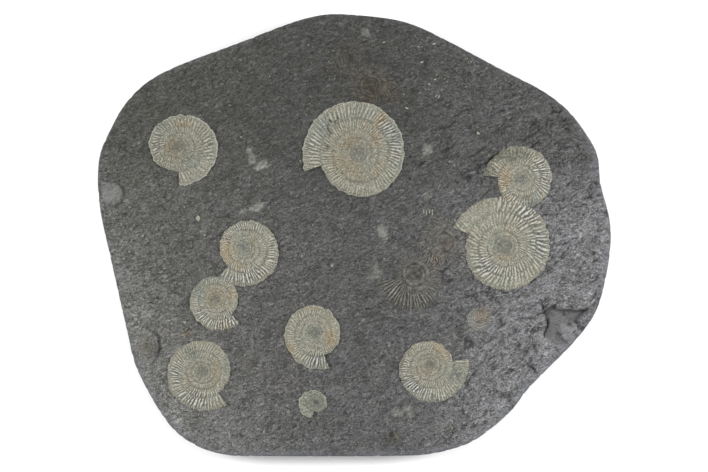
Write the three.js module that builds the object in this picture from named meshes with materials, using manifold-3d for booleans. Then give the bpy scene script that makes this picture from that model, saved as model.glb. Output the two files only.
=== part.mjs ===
// A slab of dark oil shale with ten pale, flattened ammonites lying in its split face.
// Millimetres, +Z up. The slab rests on z = 0 with its middle at the origin,
// and the split face with the fossils looks up.
import * as THREE from 'three';
import { mergeVertices } from 'three/addons/utils/BufferGeometryUtils.js';
import Module from 'manifold-3d';

const wasm = await Module();
wasm.setup();

const TURN = 2 * Math.PI;
const DEGREE = Math.PI / 180;
const SAME_POINT = 1e-4; // vertices nearer than this are one

// Slab
const FACE_LEVEL = 14; // mean height of the split face
const SWELL = 0.35; // low waves of the split face, up and down
const BEVEL = 1.6; // worn edge between the split face and the sawn side
const GRID_CELL = 24; // mesh size of the split face
const GRID_HALF = [192, 168];
const CLEAR_ABOVE = 24; // any height above everything

// The sawn outline, as points that a smooth closed curve runs through
const OUTLINE = [
  [-18, 159.4], [-34, 156.5], [-50, 151.5], [-81, 139.5], [-133, 119.5], [-151, 109], [-165.2, 94.4],
  [-175.4, 76.7], [-183, 59], [-184.8, 39], [-183, 18], [-175, -19], [-163, -72], [-157.8, -93.2],
  [-140, -127], [-128, -142], [-111, -153], [-91, -158.4], [-66, -159.1], [30, -159], [52, -158],
  [69, -154.5], [86.4, -147.9], [113, -126.5], [125, -111], [162.4, -72.4], [174.4, -54.4], [181, -32],
  [184.8, -6], [184, 11.5], [177.4, 38], [175, 58.5], [165.5, 75.4], [153.5, 90.4], [137.4, 103],
  [107, 119], [48, 149.5], [32, 154.8], [10, 158],
];

// Where thin layers have flaked off the split face: an outline, the depth at a point of it, and
// how fast the floor rises towards +x and +y
const FLAKES = [
  {
    // The chipped hollow at the lower right edge, deepest along its upper wall
    outline: [
      [137.8, -52.7], [138.4, -66], [136.9, -73.4], [141.9, -78], [156, -82], [168, -72],
      [161, -61], [163.9, -57], [172.5, -51.8], [160.3, -54], [146, -52.6], [145.1, -48.9],
    ],
    at: [145, -54], depth: 2.4, rise: [-0.012, -0.06],
  },
  {
    // One layer is missing from the lower right part of the face
    outline: [
      [196, -14], [183, -16], [168, -20], [151, -19], [138, -27], [128, -42], [113, -43], [107, -52],
      [112, -66], [104, -80], [109, -97], [122, -104], [130, -125], [196, -125],
    ],
    at: [150, -50], depth: 0.6, rise: [0, 0],
  },
  {
    // A shallow step below the large dark coil
    outline: [
      [-6, -54], [8, -52.5], [30, -60], [44, -56], [62, -62], [78, -57.5], [82, -70], [66, -82],
      [40, -78], [14, -84], [-4, -72],
    ],
    at: [40, -65], depth: 0.45, rise: [0, 0.012],
  },
];

// The open crack beside the hollow, from its upper end to its lower end
const CRACK = [[134.8, -49], [137.6, -55.5], [139.3, -64.5], [136.6, -73.8]];
const CRACK_WIDTH = 1.1;
const CRACK_DEPTH = 2.2;

// Every shell is a flat coil seen from above. mouth is the direction from its centre to the mouth,
// inward is +1 where the coil runs anticlockwise from the mouth inward and -1 where it runs clockwise.
// radii are the outer radii at the mouth and each quarter turn from it, back to the mouth's direction.
const AMMONITES = [
  // name, centre, mouth, inward, radii
  ['upper_left', [-126.9, 63.5], 272, 1, [28.1, 28.8, 23, 20.9, 17.6]],
  ['large_top', [2.4, 59.2], 199, -1, [40.7, 38.2, 34.2, 32.4, 27.4]],
  ['upper_right', [120.1, 40.9], 176, -1, [27.4, 23.4, 22.3, 20.9, 16.6]],
  ['large_right', [108.8, -8.5], 160, -1, [40.3, 35.3, 31.7, 31, 28.1]],
  ['left_pair_upper', [-78.5, -8.8], 228, 1, [28.8, 26.6, 21.2, 18.7, 18.4]],
  ['left_pair_lower', [-99.8, -46.3], 316, -1, [24.8, 20.2, 17.6, 16.9, 15.8]],
  ['lower_left', [-109.6, -98.1], 307, -1, [30.2, 26.6, 23.4, 21.6, 19.8]],
  ['lower_middle', [-28.5, -70.4], 293, -1, [27.4, 22.6, 20.4, 18.7, 17.5]],
  ['lower_right', [54.3, -93.4], 9, -1, [28.4, 27.4, 22.3, 17.6, 17.1]],
  ['small_bottom', [-27.5, -120.4], 256, -1, [12.6, 12.2, 8.3, 7.9, 6.8]],
].map(([name, centre, mouth, inward, radii]) => ({ name, centre, mouth, inward, radii }));
const INNER_WHORL_RATIO = 1.5; // how much each whorl further in shrinks in one turn
const RIBS_PER_RADIUS = 0.9; // ribs on a whorl for each millimetre of the shell's radius
const FEWEST_RIBS = 16;
const MOST_RIBS = 34;
const MIDDLE_OFFSET = 1 / 3; // of the innermost radius, from the coil's centre to its top's middle point

// Heights above the split face, from the rim of a shell to its centre
const SHELL = {
  rim: 0.35, crest: 1.25, seam: 0.75, innerCrest: 1.15, innerSeam: 0.7, centre: 0.45, rib: 0.17,
};
const LARGE_SHELL_RADIUS = 35;
const LARGE_SHELL_FACTOR = 1.25; // a large shell stands this much higher
const LAP_LIFT = 0.35; // a shell that lies over another stands this much higher

// Which shell lies over which
const LAPS = { upper_right: 'large_right', left_pair_upper: 'left_pair_lower' };

// Each shell lies in a flat-floored seat in the slab, with a thin gap all round
const SEAT_DEPTH = 1.5;
const GAP = 0.3;
const FACET_SAG = 0.2; // how far the seat's straight sides may cut inside the round outline
const SEAT_SIDES_PER_RIB = 0.9;
const FLOOR_SAMPLES = 24; // points of a shell's rim that its seat's floor is set from

// Dark coils that are part of the rock itself, as low relief
const DARK_COILS = [
  { centre: [43.4, -27.6], mouth: 190, inward: 1, radii: [30.2, 27.7, 20.2, 16.6, 13.7], ribs: 20 },
  { centre: [64.9, -4.7], mouth: 300, inward: 1, radii: [21.6, 20.2, 19.4, 19.4, 15], ribs: 12 },
  { centre: [12.1, 107.8], mouth: 250, inward: -1, radii: [19.1, 18, 18, 17.3, 13], ribs: 10 },
];
const DARK_RELIEF = {
  rim: -0.12, crest: 0.55, seam: 0.2, innerCrest: 0.55, innerSeam: 0.2, centre: 0.3, rib: 0.14,
};
const DARK_ROOT = 1.5; // how deep a dark coil's body reaches into the slab that it is one with

const slabMaterial = new THREE.MeshStandardMaterial({ color: 0x5e5e5b, roughness: 0.85, metalness: 0 });
const shellMaterial = new THREE.MeshStandardMaterial({ color: 0x918e7f, roughness: 0.75, metalness: 0 });

// Height of the split face at a point, before anything is flaked off it
function faceHeight(x, y) {
  const longWave = Math.sin(x / 46 + 0.6) * Math.cos(y / 38 - 0.4);
  const slantWave = Math.sin((x + 1.6 * y) / 60 + 2);
  return FACE_LEVEL + SWELL * (longWave + 0.5 * slantWave);
}

function closedMesh(positions, triangles) {
  const geometry = new THREE.BufferGeometry();
  geometry.setAttribute('position', new THREE.Float32BufferAttribute(positions.flat(), 3));
  geometry.setIndex(triangles.flat());
  return geometry;
}

function toSolid(geometry) {
  const merged = mergeVertices(geometry, SAME_POINT);
  const vertProperties = new Float32Array(merged.attributes.position.array);
  const triVerts = new Uint32Array(merged.index.array);
  return new wasm.Manifold(new wasm.Mesh({ numProp: 3, vertProperties, triVerts }));
}

function toGeometry(solid) {
  const mesh = solid.getMesh();
  const geometry = new THREE.BufferGeometry();
  geometry.setAttribute('position', new THREE.BufferAttribute(new Float32Array(mesh.vertProperties), 3));
  geometry.setIndex(new THREE.BufferAttribute(new Uint32Array(mesh.triVerts), 1));
  geometry.computeVertexNormals();
  return geometry;
}

// A closed body between a floor and a ceiling over one outline, with any number of rings between.
// Each ring is [outline points, height function]; all rings have the same number of points.
function stackedRings(rings) {
  const count = rings[0][0].length;
  const positions = [];
  const triangles = [];
  for (const [points, height] of rings) {
    for (const [x, y] of points) positions.push([x, y, height(x, y)]);
  }
  for (let ring = 0; ring + 1 < rings.length; ring += 1) {
    for (let i = 0; i < count; i += 1) {
      const a = ring * count + i;
      const b = ring * count + ((i + 1) % count);
      triangles.push([a, b, b + count], [a, b + count, a + count]);
    }
  }
  const top = (rings.length - 1) * count;
  const flat = rings[0][0].map(([x, y]) => new THREE.Vector2(x, y));
  for (const [a, b, c] of THREE.ShapeUtils.triangulateShape(flat, [])) {
    triangles.push([a, c, b], [top + a, top + b, top + c]);
  }
  return closedMesh(positions, triangles);
}

function anticlockwise(points) {
  const flat = points.map(([x, y]) => new THREE.Vector2(x, y));
  return THREE.ShapeUtils.isClockWise(flat) ? points.slice().reverse() : points;
}

// An anticlockwise outline moved outward by a distance, or inward by a negative one
function grow(points, distance) {
  return points.map((point, i) => {
    const before = points[(i + points.length - 1) % points.length];
    const after = points[(i + 1) % points.length];
    const normals = [[before, point], [point, after]].map(([from, to]) => {
      const length = Math.hypot(to[0] - from[0], to[1] - from[1]);
      return [(to[1] - from[1]) / length, (from[0] - to[0]) / length];
    });
    const sum = [normals[0][0] + normals[1][0], normals[0][1] + normals[1][1]];
    const miter = Math.max((sum[0] ** 2 + sum[1] ** 2) / 2, 0.5);
    return [point[0] + (distance * sum[0]) / miter, point[1] + (distance * sum[1]) / miter];
  });
}

function outlinePoints() {
  const corners = OUTLINE.map(([x, y]) => new THREE.Vector3(x, y, 0));
  const curve = new THREE.CatmullRomCurve3(corners, true, 'centripetal');
  const points = curve.getPoints(2 * OUTLINE.length).slice(0, -1).map(({ x, y }) => [x, y]);
  return anticlockwise(points);
}

// Outer radius of a coil at an angle inward from its mouth
function coilRadius(radii, angle) {
  const shrink = Math.log(radii[0] / radii[4]) / TURN;
  const g = [0, 1, 2, 3].map((i) => Math.log(radii[i]) + (shrink * i * TURN) / 4);
  const mean = (g[0] + g[1] + g[2] + g[3]) / 4;
  const wobble = ((g[0] - g[2]) / 2) * Math.cos(angle) + ((g[1] - g[3]) / 2) * Math.sin(angle)
    + ((g[0] - g[1] + g[2] - g[3]) / 4) * Math.cos(2 * angle);
  const innerShrink = Math.log(INNER_WHORL_RATIO) / TURN;
  return Math.exp(mean + wobble - shrink * Math.min(angle, TURN) - innerShrink * Math.max(angle - TURN, 0));
}

function coilPoint(coil, angle, radius) {
  const direction = coil.mouth * DEGREE + coil.inward * angle;
  return [coil.centre[0] + radius * Math.cos(direction), coil.centre[1] + radius * Math.sin(direction)];
}

// A coil's outline from above: one turn of its outer edge, then straight back along the mouth
function coilOutline(coil, steps) {
  const points = [];
  for (let i = 0; i <= steps; i += 1) {
    const angle = (TURN * i) / steps;
    points.push(coilPoint(coil, angle, coilRadius(coil.radii, angle)));
  }
  return anticlockwise(points);
}

// A closed body whose top is two whorls of a ribbed coil and whose underside is flat at height floor
function coilBody(coil, heights, floor, lift) {
  const steps = 2 * coil.ribs; // a rib crest and a furrow for each rib
  const positions = [];
  const triangles = [];
  const place = ([x, y], above) => positions.push([x, y, faceHeight(x, y) + lift + above]) - 1;
  const edge = (i) => coilRadius(coil.radii, (TURN * i) / steps);

  // Edge of the coil from the mouth through three turns, and the crest line between two turns of it
  const edgeAt = [];
  const crestAt = [];
  const edgeHeights = [heights.rim, heights.seam, heights.innerSeam, heights.innerSeam];
  const crestHeights = [heights.crest, heights.innerCrest];
  for (let i = 0; i <= 3 * steps; i += 1) {
    const rib = i < steps ? heights.rib * (i % 2 === 0 ? 0.5 : -0.5) : 0;
    const above = edgeHeights[Math.floor(i / steps)] + rib;
    edgeAt.push(place(coilPoint(coil, (TURN * i) / steps, edge(i)), above));
  }
  for (let i = 0; i <= 2 * steps; i += 1) {
    const turn = Math.min(Math.floor(i / steps), 1);
    const rib = heights.rib * (i % 2 === 0 ? 1 : -1);
    const radius = (edge(i) + edge(i + steps)) / 2;
    crestAt.push(place(coilPoint(coil, (TURN * i) / steps, radius), crestHeights[turn] + rib));
  }
  for (let i = 0; i < 2 * steps; i += 1) {
    triangles.push([edgeAt[i], edgeAt[i + 1], crestAt[i + 1]], [edgeAt[i], crestAt[i + 1], crestAt[i]]);
    const inner = i + steps;
    triangles.push([crestAt[i], crestAt[i + 1], edgeAt[inner + 1]]);
    triangles.push([crestAt[i], edgeAt[inner + 1], edgeAt[inner]]);
  }

  // The innermost whorls run together into one low dome round a point just off the centre,
  // so that the step from whorl to whorl at the mouth's direction still faces it
  const middle = coilPoint(coil, TURN / 4, edge(3 * steps) * MIDDLE_OFFSET);
  const top = place(middle, heights.centre);
  for (let i = 2 * steps; i < 3 * steps; i += 1) triangles.push([top, edgeAt[i], edgeAt[i + 1]]);
  triangles.push([top, edgeAt[3 * steps], crestAt[2 * steps]], [top, crestAt[2 * steps], edgeAt[2 * steps]]);

  // Sides and flat underside, along one turn of the outer edge and back along the mouth
  const rim = [...edgeAt.slice(0, steps + 1), crestAt[0]];
  const under = rim.map((index) => positions.push([positions[index][0], positions[index][1], floor]) - 1);
  const bottom = positions.push([middle[0], middle[1], floor]) - 1;
  rim.forEach((index, i) => {
    const next = (i + 1) % rim.length;
    triangles.push([index, under[i], under[next]], [index, under[next], rim[next]]);
    triangles.push([bottom, under[next], under[i]]);
  });
  if (coil.inward < 0) triangles.forEach((triangle) => triangle.reverse());
  return closedMesh(positions, triangles);
}

// The split face as a block: a wavy grid on top and a flat underside
function faceBlock() {
  const [halfX, halfY] = GRID_HALF;
  const columns = (2 * halfX) / GRID_CELL;
  const rows = (2 * halfY) / GRID_CELL;
  const positions = [];
  const triangles = [];
  for (let row = 0; row <= rows; row += 1) {
    for (let column = 0; column <= columns; column += 1) {
      const x = -halfX + column * GRID_CELL;
      const y = -halfY + row * GRID_CELL;
      positions.push([x, y, faceHeight(x, y)]);
    }
  }
  const at = (column, row) => row * (columns + 1) + column;
  for (let row = 0; row < rows; row += 1) {
    for (let column = 0; column < columns; column += 1) {
      const [a, b] = [at(column, row), at(column + 1, row)];
      const [c, d] = [at(column + 1, row + 1), at(column, row + 1)];
      triangles.push([a, b, c], [a, c, d]);
    }
  }
  const border = [];
  for (let column = 0; column < columns; column += 1) border.push(at(column, 0));
  for (let row = 0; row < rows; row += 1) border.push(at(columns, row));
  for (let column = columns; column > 0; column -= 1) border.push(at(column, rows));
  for (let row = rows; row > 0; row -= 1) border.push(at(0, row));
  const under = border.map((index) => positions.push([positions[index][0], positions[index][1], 0]) - 1);
  const bottom = positions.push([0, 0, 0]) - 1;
  border.forEach((index, i) => {
    const next = (i + 1) % border.length;
    triangles.push([index, under[i], under[next]], [index, under[next], border[next]]);
    triangles.push([bottom, under[next], under[i]]);
  });
  return closedMesh(positions, triangles);
}

// What the saw left: straight sides up to the worn edge, which leans in above it
function sawnBody() {
  const points = outlinePoints();
  const shoulder = FACE_LEVEL - BEVEL;
  const lean = CLEAR_ABOVE - shoulder;
  return stackedRings([
    [points, () => -1],
    [points, () => shoulder],
    [grow(points, -lean), () => CLEAR_ABOVE],
  ]);
}

function flakeBody({ outline, at, depth, rise }) {
  const points = anticlockwise(outline);
  const floor = (x, y) => faceHeight(...at) - depth + rise[0] * (x - at[0]) + rise[1] * (y - at[1]);
  return stackedRings([[points, floor], [points, () => CLEAR_ABOVE]]);
}

// A narrow wedge along the crack's line, pointed at both ends
function crackBody() {
  const last = CRACK.length - 1;
  const left = CRACK.map(([x, y], i) => (i === 0 || i === last ? [x, y] : [x - CRACK_WIDTH / 2, y]));
  const right = CRACK.slice(1, last).map(([x, y]) => [x + CRACK_WIDTH / 2, y]).reverse();
  const points = anticlockwise([...left, ...right]);
  return stackedRings([[points, () => FACE_LEVEL - CRACK_DEPTH], [points, () => CLEAR_ABOVE]]);
}

function seatFloor(coil) {
  const heights = coilOutline(coil, FLOOR_SAMPLES).map(([x, y]) => faceHeight(x, y));
  return Math.min(...heights) - SEAT_DEPTH;
}

function seatBody(coil) {
  const points = grow(coilOutline(coil, Math.round(coil.ribs * SEAT_SIDES_PER_RIB)), GAP + FACET_SAG);
  return stackedRings([[points, () => seatFloor(coil)], [points, () => CLEAR_ABOVE]]);
}

function shellHeights(coil) {
  const factor = coil.radii[0] > LARGE_SHELL_RADIUS ? LARGE_SHELL_FACTOR : 1;
  return Object.fromEntries(Object.entries(SHELL).map(([part, height]) => [part, height * factor]));
}

function shellSolid(coil) {
  const lift = coil.name in LAPS ? LAP_LIFT : 0;
  return toSolid(coilBody(coil, shellHeights(coil), seatFloor(coil) + GAP, lift));
}

function buildSlab(coils) {
  let slab = toSolid(faceBlock());
  for (const coil of DARK_COILS) {
    slab = slab.add(toSolid(coilBody(coil, DARK_RELIEF, FACE_LEVEL - DARK_ROOT, 0)));
  }
  slab = slab.intersect(toSolid(sawnBody()));
  for (const flake of FLAKES) slab = slab.subtract(toSolid(flakeBody(flake)));
  slab = slab.subtract(toSolid(crackBody()));
  for (const coil of coils) slab = slab.subtract(toSolid(seatBody(coil)));
  return slab;
}

function addMesh(group, name, solid, material) {
  const mesh = new THREE.Mesh(toGeometry(solid), material);
  mesh.name = name;
  group.add(mesh);
}

const coils = AMMONITES.map((coil) => {
  const ribs = Math.round(THREE.MathUtils.clamp(coil.radii[0] * RIBS_PER_RADIUS, FEWEST_RIBS, MOST_RIBS));
  return { ...coil, ribs };
});

const model = new THREE.Group();
addMesh(model, 'shale_slab', buildSlab(coils), slabMaterial);
for (const coil of coils) {
  let shell = shellSolid(coil);
  for (const upper of coils.filter(({ name }) => LAPS[name] === coil.name)) {
    shell = shell.subtract(toSolid(seatBody(upper)));
  }
  addMesh(model, `ammonite_${coil.name}`, shell, shellMaterial);
}

export default model;
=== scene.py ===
"""A slab of dark oil shale with ten pale ammonites in its split face, seen from straight above.

Lengths are in millimetres, and turned into metres where Blender takes them. Only those of the lights
are in metres. The face's level, the outline and the coils repeat the CAD's own values.
"""
import math

import bpy
import numpy as np
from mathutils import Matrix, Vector
from mathutils.geometry import delaunay_2d_cdt


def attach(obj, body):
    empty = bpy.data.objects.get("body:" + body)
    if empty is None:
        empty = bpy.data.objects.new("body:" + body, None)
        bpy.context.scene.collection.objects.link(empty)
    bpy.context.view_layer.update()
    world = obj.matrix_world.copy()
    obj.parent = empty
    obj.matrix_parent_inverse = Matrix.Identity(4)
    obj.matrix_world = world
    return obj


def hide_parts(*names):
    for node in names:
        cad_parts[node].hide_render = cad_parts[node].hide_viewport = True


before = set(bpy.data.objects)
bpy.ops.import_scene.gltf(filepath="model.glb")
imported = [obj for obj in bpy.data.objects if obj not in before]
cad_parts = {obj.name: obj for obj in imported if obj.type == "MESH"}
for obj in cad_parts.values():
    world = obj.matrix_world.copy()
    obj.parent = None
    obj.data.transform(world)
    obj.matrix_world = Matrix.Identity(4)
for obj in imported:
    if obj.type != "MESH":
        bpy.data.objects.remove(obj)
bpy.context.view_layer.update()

TURN = 2 * math.pi
MM = 0.001
SEED = 11

# The slab, as in the CAD
FACE_LEVEL = 14.0
SWELL = 0.35
BEVEL = 1.6
OUTLINE = [
    (-18, 159.4), (-34, 156.5), (-50, 151.5), (-81, 139.5), (-133, 119.5), (-151, 109), (-165.2, 94.4),
    (-175.4, 76.7), (-183, 59), (-184.8, 39), (-183, 18), (-175, -19), (-163, -72), (-157.8, -93.2),
    (-140, -127), (-128, -142), (-111, -153), (-91, -158.4), (-66, -159.1), (30, -159), (52, -158),
    (69, -154.5), (86.4, -147.9), (113, -126.5), (125, -111), (162.4, -72.4), (174.4, -54.4), (181, -32),
    (184.8, -6), (184, 11.5), (177.4, 38), (175, 58.5), (165.5, 75.4), (153.5, 90.4), (137.4, 103),
    (107, 119), (48, 149.5), (32, 154.8), (10, 158),
]

HIGHEST_ROCK = FACE_LEVEL + 1.2  # no lump of the rock rises above this

# Mesh sizes of the slab, and half the sizes of the grids that its outline is cut from
TOP_CELL = 1.15
TOP_HALF = (186, 161)
SIDE_RINGS = 9
UNDERSIDE_CELL = 6.0
UNDERSIDE_HALF = (186, 162)

# Flaked places: outline, a point of the floor, its depth there, and how the floor rises
HOLLOW = dict(
    outline=[
        (137.8, -52.7), (138.4, -66), (136.9, -73.4), (141.9, -78), (156, -82), (168, -72),
        (161, -61), (163.9, -57), (172.5, -51.8), (160.3, -54), (146, -52.6), (145.1, -48.9),
    ],
    at=(145, -54), depth=2.4, rise=(-0.012, -0.06),
)
MISSING_LAYER = dict(
    outline=[
        (196, -14), (183, -16), (168, -20), (151, -19), (138, -27), (128, -42), (113, -43), (107, -52),
        (112, -66), (104, -80), (109, -97), (122, -104), (130, -125), (196, -125),
    ],
    at=(150, -50), depth=0.6, rise=(0, 0),
)
STEP_BELOW_COIL = dict(
    outline=[
        (-6, -54), (8, -52.5), (30, -60), (44, -56), (62, -62), (78, -57.5), (82, -70), (66, -82),
        (40, -78), (14, -84), (-4, -72),
    ],
    at=(40, -65), depth=0.4, rise=(0, 0.012),
)

# Inside the hollow, the light plate that the next layer leaves, a little above the floor, which is painted
# dark as shade
PLATE = [(144.5, -66), (149, -63), (153, -64.5), (157, -61.5), (165, -70), (158, -79), (152, -77)]
PLATE_RISE = 0.55

# The low smooth disc near the left edge: centre, radius, height. The groove around it: radius, width,
# depth. The painted shadow along its right side: centre, radius, width, strength.
DISC = ((-174.8, 30.0), 8.2, 0.75)
DISC_GROOVE = (8.8, 0.9, 0.3)
DISC_SHADOW_LINE = ((-174.3, 29.6), 8.9, 0.7, 0.6)

# Families of crevices: direction in degrees, length, spacing, shares on the calm and the torn side
CREVICES = ((35, 8, 3.4, 1, 0), (-10, 8, 3.4, 1, 0), (38, 17, 5.5, 0, 1), (75, 9, 4.5, 0, 0.8))

# Open cracks: points from end to end, width, depth
CRACKS = [
    ([(134.8, -49), (137.6, -55.5), (139.3, -64.5), (136.6, -73.8)], 1.0, 1.6),
    ([(131, -57), (137.5, -56)], 0.9, 0.8),
    ([(123, -93), (128, -95), (131, -99.5), (133.5, -101.5)], 0.9, 1.0),
    ([(145, -66.5), (150, -75), (154.5, -79.5)], 0.6, 0.4),
    ([(159, -61), (164, -68.5)], 0.7, 0.7),
    ([(-2, -55), (4, -53.8), (13, -52.5), (22, -51)], 0.8, 0.5),
    ([(30, -66), (38.7, -66.4)], 0.9, 0.5),
    ([(105, -41), (117.5, -41.2)], 1.1, 0.6),
    ([(137.5, -26.5), (144, -23)], 1.0, 0.5),
    ([(58, -25), (64, -26.5), (68, -22)], 1.0, 0.5),
    ([(172.5, 38), (176.5, 37)], 0.9, 1.0),
    ([(70, 84), (80, 90), (92, 92)], 0.9, 0.5),
    ([(58, 76), (68, 78), (74, 83)], 0.9, 0.5),
    ([(96, 84), (106, 90), (118, 91)], 0.9, 0.45),
    ([(120, 68), (130, 73), (138, 80)], 0.9, 0.45),
    ([(136, 60), (148, 68), (156, 70)], 0.8, 0.4),
    ([(60, 60), (70, 63), (76, 70)], 0.9, 0.45),
    ([(48, 92), (60, 96), (66, 101)], 0.8, 0.4),
    ([(-72, 76), (-64, 69), (-58, 64)], 0.7, 0.35),
    ([(-92, 38), (-78, 33)], 0.8, 0.35),
    ([(-8, 18), (4, 15), (16, 17)], 0.8, 0.3),
    ([(92.4, 49.4), (101, 57), (110, 62.5)], 1.1, 0.6),
    ([(76.9, 54.8), (87, 58), (97.5, 66)], 1.0, 0.5),
    ([(99.9, 73.6), (109, 77.5), (117.9, 78.7)], 0.9, 0.4),
    ([(143.6, 57), (148, 61.5), (153.8, 63.5)], 0.9, 0.4),
    ([(134.5, 14.8), (145, 14.8)], 1.0, 0.5),
    ([(160.2, 19.9), (167.9, 22.5)], 0.8, 0.4),
    ([(76.1, 42.4), (82, 46.5), (86.9, 47.4)], 0.9, 0.4),
    ([(46, 50), (52, 53.5)], 1.3, 0.5),
    ([(38, 73), (43, 76), (47, 77)], 0.9, 0.4),
    ([(-38, 41), (-30, 47), (-26, 48.5)], 0.8, 0.35),
    ([(-147.5, -67), (-141.5, -72.5), (-139.8, -80), (-141.5, -87.5), (-146, -93.5)], 1.4, 0.5),
]

# Each pale ammonite: centre, direction of the mouth in degrees, winding inward from the mouth (+1 is
# anticlockwise), outer radii each quarter turn from the mouth inward, ribs on a whorl
AMMONITES = {
    "upper_left": ((-126.9, 63.5), 272, 1, (28.1, 28.8, 23, 20.9, 17.6), 54.3),
    "large_top": ((2.4, 59.2), 199, -1, (40.7, 38.2, 34.2, 32.4, 27.4), 76.4),
    "upper_right": ((120.1, 40.9), 176, -1, (27.4, 23.4, 22.3, 20.9, 16.6), 52.3),
    "large_right": ((108.8, -8.5), 160, -1, (40.3, 35.3, 31.7, 31, 28.1), 54.4),
    "left_pair_upper": ((-78.5, -8.8), 228, 1, (28.8, 26.6, 21.2, 18.7, 18.4), 66.3),
    "left_pair_lower": ((-99.8, -46.3), 316, -1, (24.8, 20.2, 17.6, 16.9, 15.8), 60.4),
    "lower_left": ((-109.6, -98.1), 307, -1, (30.2, 26.6, 23.4, 21.6, 19.8), 62.3),
    "lower_middle": ((-28.5, -70.4), 293, -1, (27.4, 22.6, 20.4, 18.7, 17.5), 62.4),
    "lower_right": ((54.3, -93.4), 9, -1, (28.4, 27.4, 22.3, 17.6, 17.1), 68.3),
    "small_bottom": ((-27.5, -120.4), 256, -1, (12.6, 12.2, 8.3, 7.9, 6.8), 30.4),
}

# Dark coils that are part of the rock: as above, and how strongly the ribs show
DARK_COILS = {
    "dark_coil_large": ((43.4, -27.6), 190, 1, (30.2, 27.7, 20.2, 16.6, 13.7), 56.4, 1.0),
    "dark_coil_lapped": ((64.9, -4.7), 300, 1, (21.6, 20.2, 19.4, 19.4, 15), 48.3, 0.8),
    "dark_coil_top": ((12.1, 107.8), 250, -1, (19.1, 18, 18, 17.3, 13), 44.3, 0.95),
    "dark_coil_top_edge": ((-3.1, 127.6), 20, 1, (17.5, 16.5, 16, 15, 12.5), 40.3, 0.85),
    "dark_coil_left_edge": ((-149.9, -80.5), 330, 1, (9.8, 9.6, 9.4, 9.2, 7.5), 26.3, 1.0),
    "dark_coil_small": ((27.9, -144.5), 60, -1, (7.2, 6.8, 6.3, 6, 4.8), 26.3, 1.1),
}

INNER_WHORL_RATIO = 1.5  # how much a whorl shrinks in one turn, from the second whorl inward
WHORL_ROWS = (12, 6, 6, 3, 3, 3)  # mesh rows across each whorl, from the outermost inward
RIB_SAMPLES = 10  # stations of a coil's mesh for each rib
SHELL_BOTTOM = 1.1  # how far a coil's body reaches below the split face

# Heights of a coil above the rock: at its rim, on the outer whorl, in the seams, on the inner whorls
# and at the centre, and how much a rib stands out
SHELL_RELIEF = dict(rim=0.25, crest=1.1, seam=0.72, inner_crest=1.1, inner_seam=0.72, centre=0.5, rib=0.3)
DARK_RELIEF = dict(rim=-0.05, crest=0.5, seam=0.12, inner_crest=0.6, inner_seam=0.05, centre=0.3, rib=0.4)
MIDDLE_RIB = 0.4  # the rib value of a surface without ribs

# How far wear rubs the ribs down, from 0 to 1
SHELL_WEAR = 0.6
DARK_WEAR = 0.85

# A shell with a radius above LARGE_RADIUS at its mouth stands up more, by LARGE_FACTOR
LARGE_RADIUS = 35
LARGE_FACTOR = 1.25

# How far a shell that laps over its neighbour is lifted, and how pale the rim of a shell is
LIFTED = {"upper_right": 0.35, "left_pair_upper": 0.35}
PALE_RIMS = {"upper_left": 0.7, "small_bottom": 0.9, "large_top": 0.3, "lower_middle": 0.3}

# Breaks in the shells: points from end to end, width, depth
SHELL_BREAKS = [
    ([(-8.5, 82.5), (-11.5, 84.8), (-14, 81), (-18, 82.2), (-19, 77), (-16.5, 73.5), (-19.5, 70.5)],
     1.0, 0.7),
    ([(-17.5, 68), (-20.5, 65.5), (-19, 62.5), (-22.5, 60)], 0.9, 0.6),
    ([(-26, 88.5), (-22, 86.5), (-19, 83)], 0.6, 0.3),
    ([(99, -2), (104.5, -6.5), (103.5, -11)], 0.7, 0.3),
    ([(68, -94.8), (76, -91.5)], 0.6, 0.25),
    ([(68.5, -100.5), (77, -100)], 0.5, 0.2),
]

# Places of ragged patches: centre, half length, half width, direction in degrees, strength
WARM_PLACES = [
    ((-123.6, 80), 7, 3.5, 0, 0.9), ((-130, 63.9), 8, 7, 0, 0.6), ((-128, 55.5), 8, 4, 0, 0.5),
    ((19.3, 83.3), 9, 4, 60, 1.0), ((16.1, 69.3), 7, 4, -60, 0.9), ((-4, 66), 14, 8, 20, 0.5),
    ((-6, 50), 15, 9, -30, 0.6), ((15, 47), 9, 4, 40, 0.5), ((109.6, 42.7), 5, 9, 0, 1.0),
    ((106.2, 35.5), 4, 6, 20, 0.7), ((110, -15.7), 8, 5, 0, 0.5), ((113, 3), 6, 4, 0, 0.4),
    ((-91.4, -11), 6, 12, 0, 0.9), ((-73, -4.9), 3, 7, 0, 0.5), ((-84, -22), 8, 4, -30, 0.5),
    ((-88.8, -43.2), 5, 3.6, 40, 1.0), ((-100, -45.6), 8, 8, 0, 0.5), ((-93.2, -65), 4, 3, 0, 0.7),
    ((-98.3, -98.5), 4, 8, 0, 0.8), ((-119.3, -101.7), 4, 3, 0, 0.5), ((-17.5, -72.3), 4.5, 9, 0, 1.0),
    ((-46.1, -81.2), 4, 5, 30, 0.9), ((-30, -52), 8, 3, 10, 0.4), ((61.4, -82), 9, 6, -40, 0.7),
    ((52, -97), 9, 8, 0, 0.4), ((109.5, 27), 8, 3, -20, 0.4), ((82.5, 2.8), 3, 2, -20, 0.6),
]
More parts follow.
